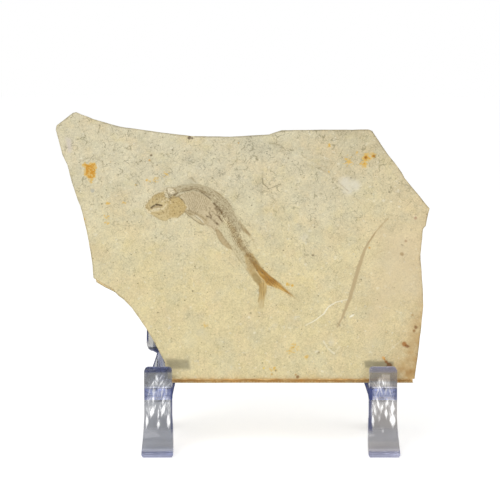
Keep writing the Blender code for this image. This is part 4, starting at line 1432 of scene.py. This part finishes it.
    def rim_distance(self, places: np.ndarray, rim_edges: list[np.ndarray]) -> np.ndarray:
        """Distance across the face to the broken edge, for each place."""
        nearest = np.full(len(places), 1.0e6)
        for ends in rim_edges:
            start, run = ends[0, :2], ends[1, :2] - ends[0, :2]
            offset = places[:, :2] - start
            share = np.clip(offset @ run / max(run @ run, 1.0e-9), 0.0, 1.0)
            away = offset - share[:, None] * run
            nearest = np.minimum(nearest, np.hypot(away[:, 0], away[:, 1]))
        return nearest

    def dress(self, piece: bpy.types.Object) -> None:
        """Store what the finish reads and give the piece its finish."""
        mesh = piece.data
        for part in mesh.polygons:
            part.material_index = 0
        mesh.shade_smooth()
        mesh.set_sharp_from_angle(angle=math.radians(50.0))
        paint = self.canvas.paint()
        paint[:, 3] *= 1.0 - self.zone_masks[:, 2]
        keep_values(mesh, "face", "FLOAT_VECTOR", self.places)
        keep_values(mesh, "paint", "FLOAT_COLOR", paint)
        keep_values(mesh, "fish", "FLOAT_VECTOR", self.fish.ways(self.canvas.places))
        keep_values(mesh, "zone", "FLOAT_VECTOR", self.zone_masks)
        stains = self.stone_marks.fields(self.canvas.places) * (1.0 - self.zone_masks[:, 2:])
        keep_values(mesh, "stain", "FLOAT_VECTOR", stains)
        mesh.materials.clear()
        mesh.materials.append(Limestone().make())
        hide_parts("slab")
        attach(piece, "root")


@dataclass
class EaselHalf:
    """One clear moulded half of the easel.

    Attributes:
        node: Its solid.
        edge_round: How far its edges are rounded, in mm.
        edge_steps: How many faces make each rounding.
        finish: Its plastic.
    """

    node: str
    edge_round: float = 0.45
    edge_steps: int = 3
    finish: ClearPlastic = field(default_factory=ClearPlastic)

    def build(self) -> bpy.types.Object:
        """Make the half and its finish."""
        bm = merged_copy(self.node)
        flat = math.radians(1.0)
        bmesh.ops.dissolve_limit(
            bm, angle_limit=flat, use_dissolve_boundaries=False, verts=bm.verts, edges=bm.edges
        )
        bm.normal_update()
        solid_edges = [edge for edge in bm.edges if edge.is_manifold]
        sharp = [edge for edge in solid_edges if edge.calc_face_angle() > math.radians(35.0)]
        bmesh.ops.bevel(
            bm,
            geom=sharp,
            offset=self.edge_round * MM,
            offset_type="OFFSET",
            affect="EDGES",
            segments=self.edge_steps,
            profile=0.5,
            clamp_overlap=True,
            material=-1,
        )
        bmesh.ops.triangulate(bm, faces=[part for part in bm.faces if len(part.verts) > 4])
        piece = new_piece(self.node + "_clear", bm)
        piece.data.shade_smooth()
        piece.data.set_sharp_from_angle(angle=math.radians(40.0))
        piece.data.materials.clear()
        low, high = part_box(self.node)
        middle = (low.x + high.x) / 2.0 / MM
        piece.data.materials.append(self.finish.make(self.node + "_plastic", middle))
        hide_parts(self.node)
        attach(piece, "root")
        return piece


@dataclass(frozen=True)
class Studio:
    """Pale floor, soft light and the camera."""

    face: SlabFace
    aim_x: float = 3.0
    aim_v: float = 52.4
    elevation: float = math.radians(7.0)
    distance: float = 0.7
    lens: float = 126.0
    surround: float = 0.56

    def build(self) -> None:
        """Set it all up."""
        self.floor()
        self.world()
        self.light("key_soft", Vector((-0.45, -0.75, 0.85)), 0.7, 4.1)
        self.light("fill_soft", Vector((0.7, -0.5, 0.5)), 0.6, 1.0)
        self.camera()

    def floor(self) -> None:
        """A plain pale floor."""
        bm = bmesh.new()
        bmesh.ops.create_grid(bm, x_segments=1, y_segments=1, size=4.0)
        bmesh.ops.translate(bm, verts=bm.verts, vec=(0.0, 0.0, -0.2 * MM))
        floor = new_piece("studio_floor", bm)
        book = NodeBook("studio_white")
        white, lit = (0.93, 0.93, 0.93, 1.0), (1.0, 1.0, 1.0, 1.0)
        matt = {"Base Color": white, "Roughness": 0.9, "Specular IOR Level": 0.1}
        shader = book.node(
            "ShaderNodeBsdfPrincipled", {}, {**matt, "Emission Color": lit, "Emission Strength": 0.48}
        )
        floor.data.materials.append(book.finish(shader))

    def world(self) -> None:
        """Soft light from all round, white behind the object."""
        world = bpy.data.worlds.new("studio_surround")
        bpy.context.scene.world = world
        world.use_nodes = True
        nodes, links = world.node_tree.nodes, world.node_tree.links
        background = nodes["Background"]
        seen = nodes.new("ShaderNodeLightPath")
        shade = nodes.new("ShaderNodeMapRange")
        shade.inputs["To Min"].default_value = self.surround
        shade.inputs["To Max"].default_value = 1.0
        links.new(seen.outputs["Is Camera Ray"], shade.inputs["Value"])
        links.new(shade.outputs["Result"], background.inputs["Strength"])
        background.inputs["Color"].default_value = (1.0, 1.0, 1.0, 1.0)

    def light(self, name: str, place: Vector, size: float, power: float) -> None:
        """A square soft light aimed at the object."""
        lamp = bpy.data.lights.new(name, "AREA")
        lamp.shape = "SQUARE"
        lamp.size = size
        lamp.energy = power
        item = bpy.data.objects.new(name, lamp)
        item.location = place
        aim = Vector((0.0, 0.0, 0.07)) - place
        item.rotation_euler = aim.to_track_quat("-Z", "Y").to_euler()
        bpy.context.scene.collection.objects.link(item)

    def camera(self) -> None:
        """The camera, looking slightly down."""
        data = bpy.data.cameras.new("front_camera")
        data.lens = self.lens
        data.sensor_width = 36.0
        data.clip_start = 0.01
        item = bpy.data.objects.new("front_camera", data)
        target = Vector(self.face.to_world(np.array([(self.aim_x, self.aim_v, 0.0)]))[0])
        ahead = Vector((0.0, math.cos(self.elevation), -math.sin(self.elevation)))
        item.location = target - self.distance * ahead
        item.rotation_euler = (math.pi / 2.0 - self.elevation, 0.0, 0.0)
        bpy.context.scene.collection.objects.link(item)
        bpy.context.scene.camera = item


def main() -> None:
    """Build every piece and the studio around them."""
    logging.basicConfig(level=logging.INFO, format="%(message)s")
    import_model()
    face = SlabFace.from_frame()
    Studio(face).build()
    pieces = [Slab(face).build()]
    pieces.append(EaselHalf("easel_left", finish=ClearPlastic()).build())
    right = ClearPlastic(
        inward=-1.0,
        near_side=1.3,
        pale_glow_patch=0.6,
        rim_share=0.45,
        bare=18.0,
        clear_colour=(0.44, 0.42, 0.40),
        foot_shade_colour=(0.27, 0.28, 0.31),
        glint_shapes=RIGHT_GLINT_SHAPES,
    )
    pieces.append(EaselHalf("easel_right", finish=right).build())
    for piece in pieces:
        LOG.info("%s: %d faces", piece.name, len(piece.data.polygons))
    bpy.context.scene.view_settings.view_transform = "Standard"


if __name__ == "__main__":
    main()
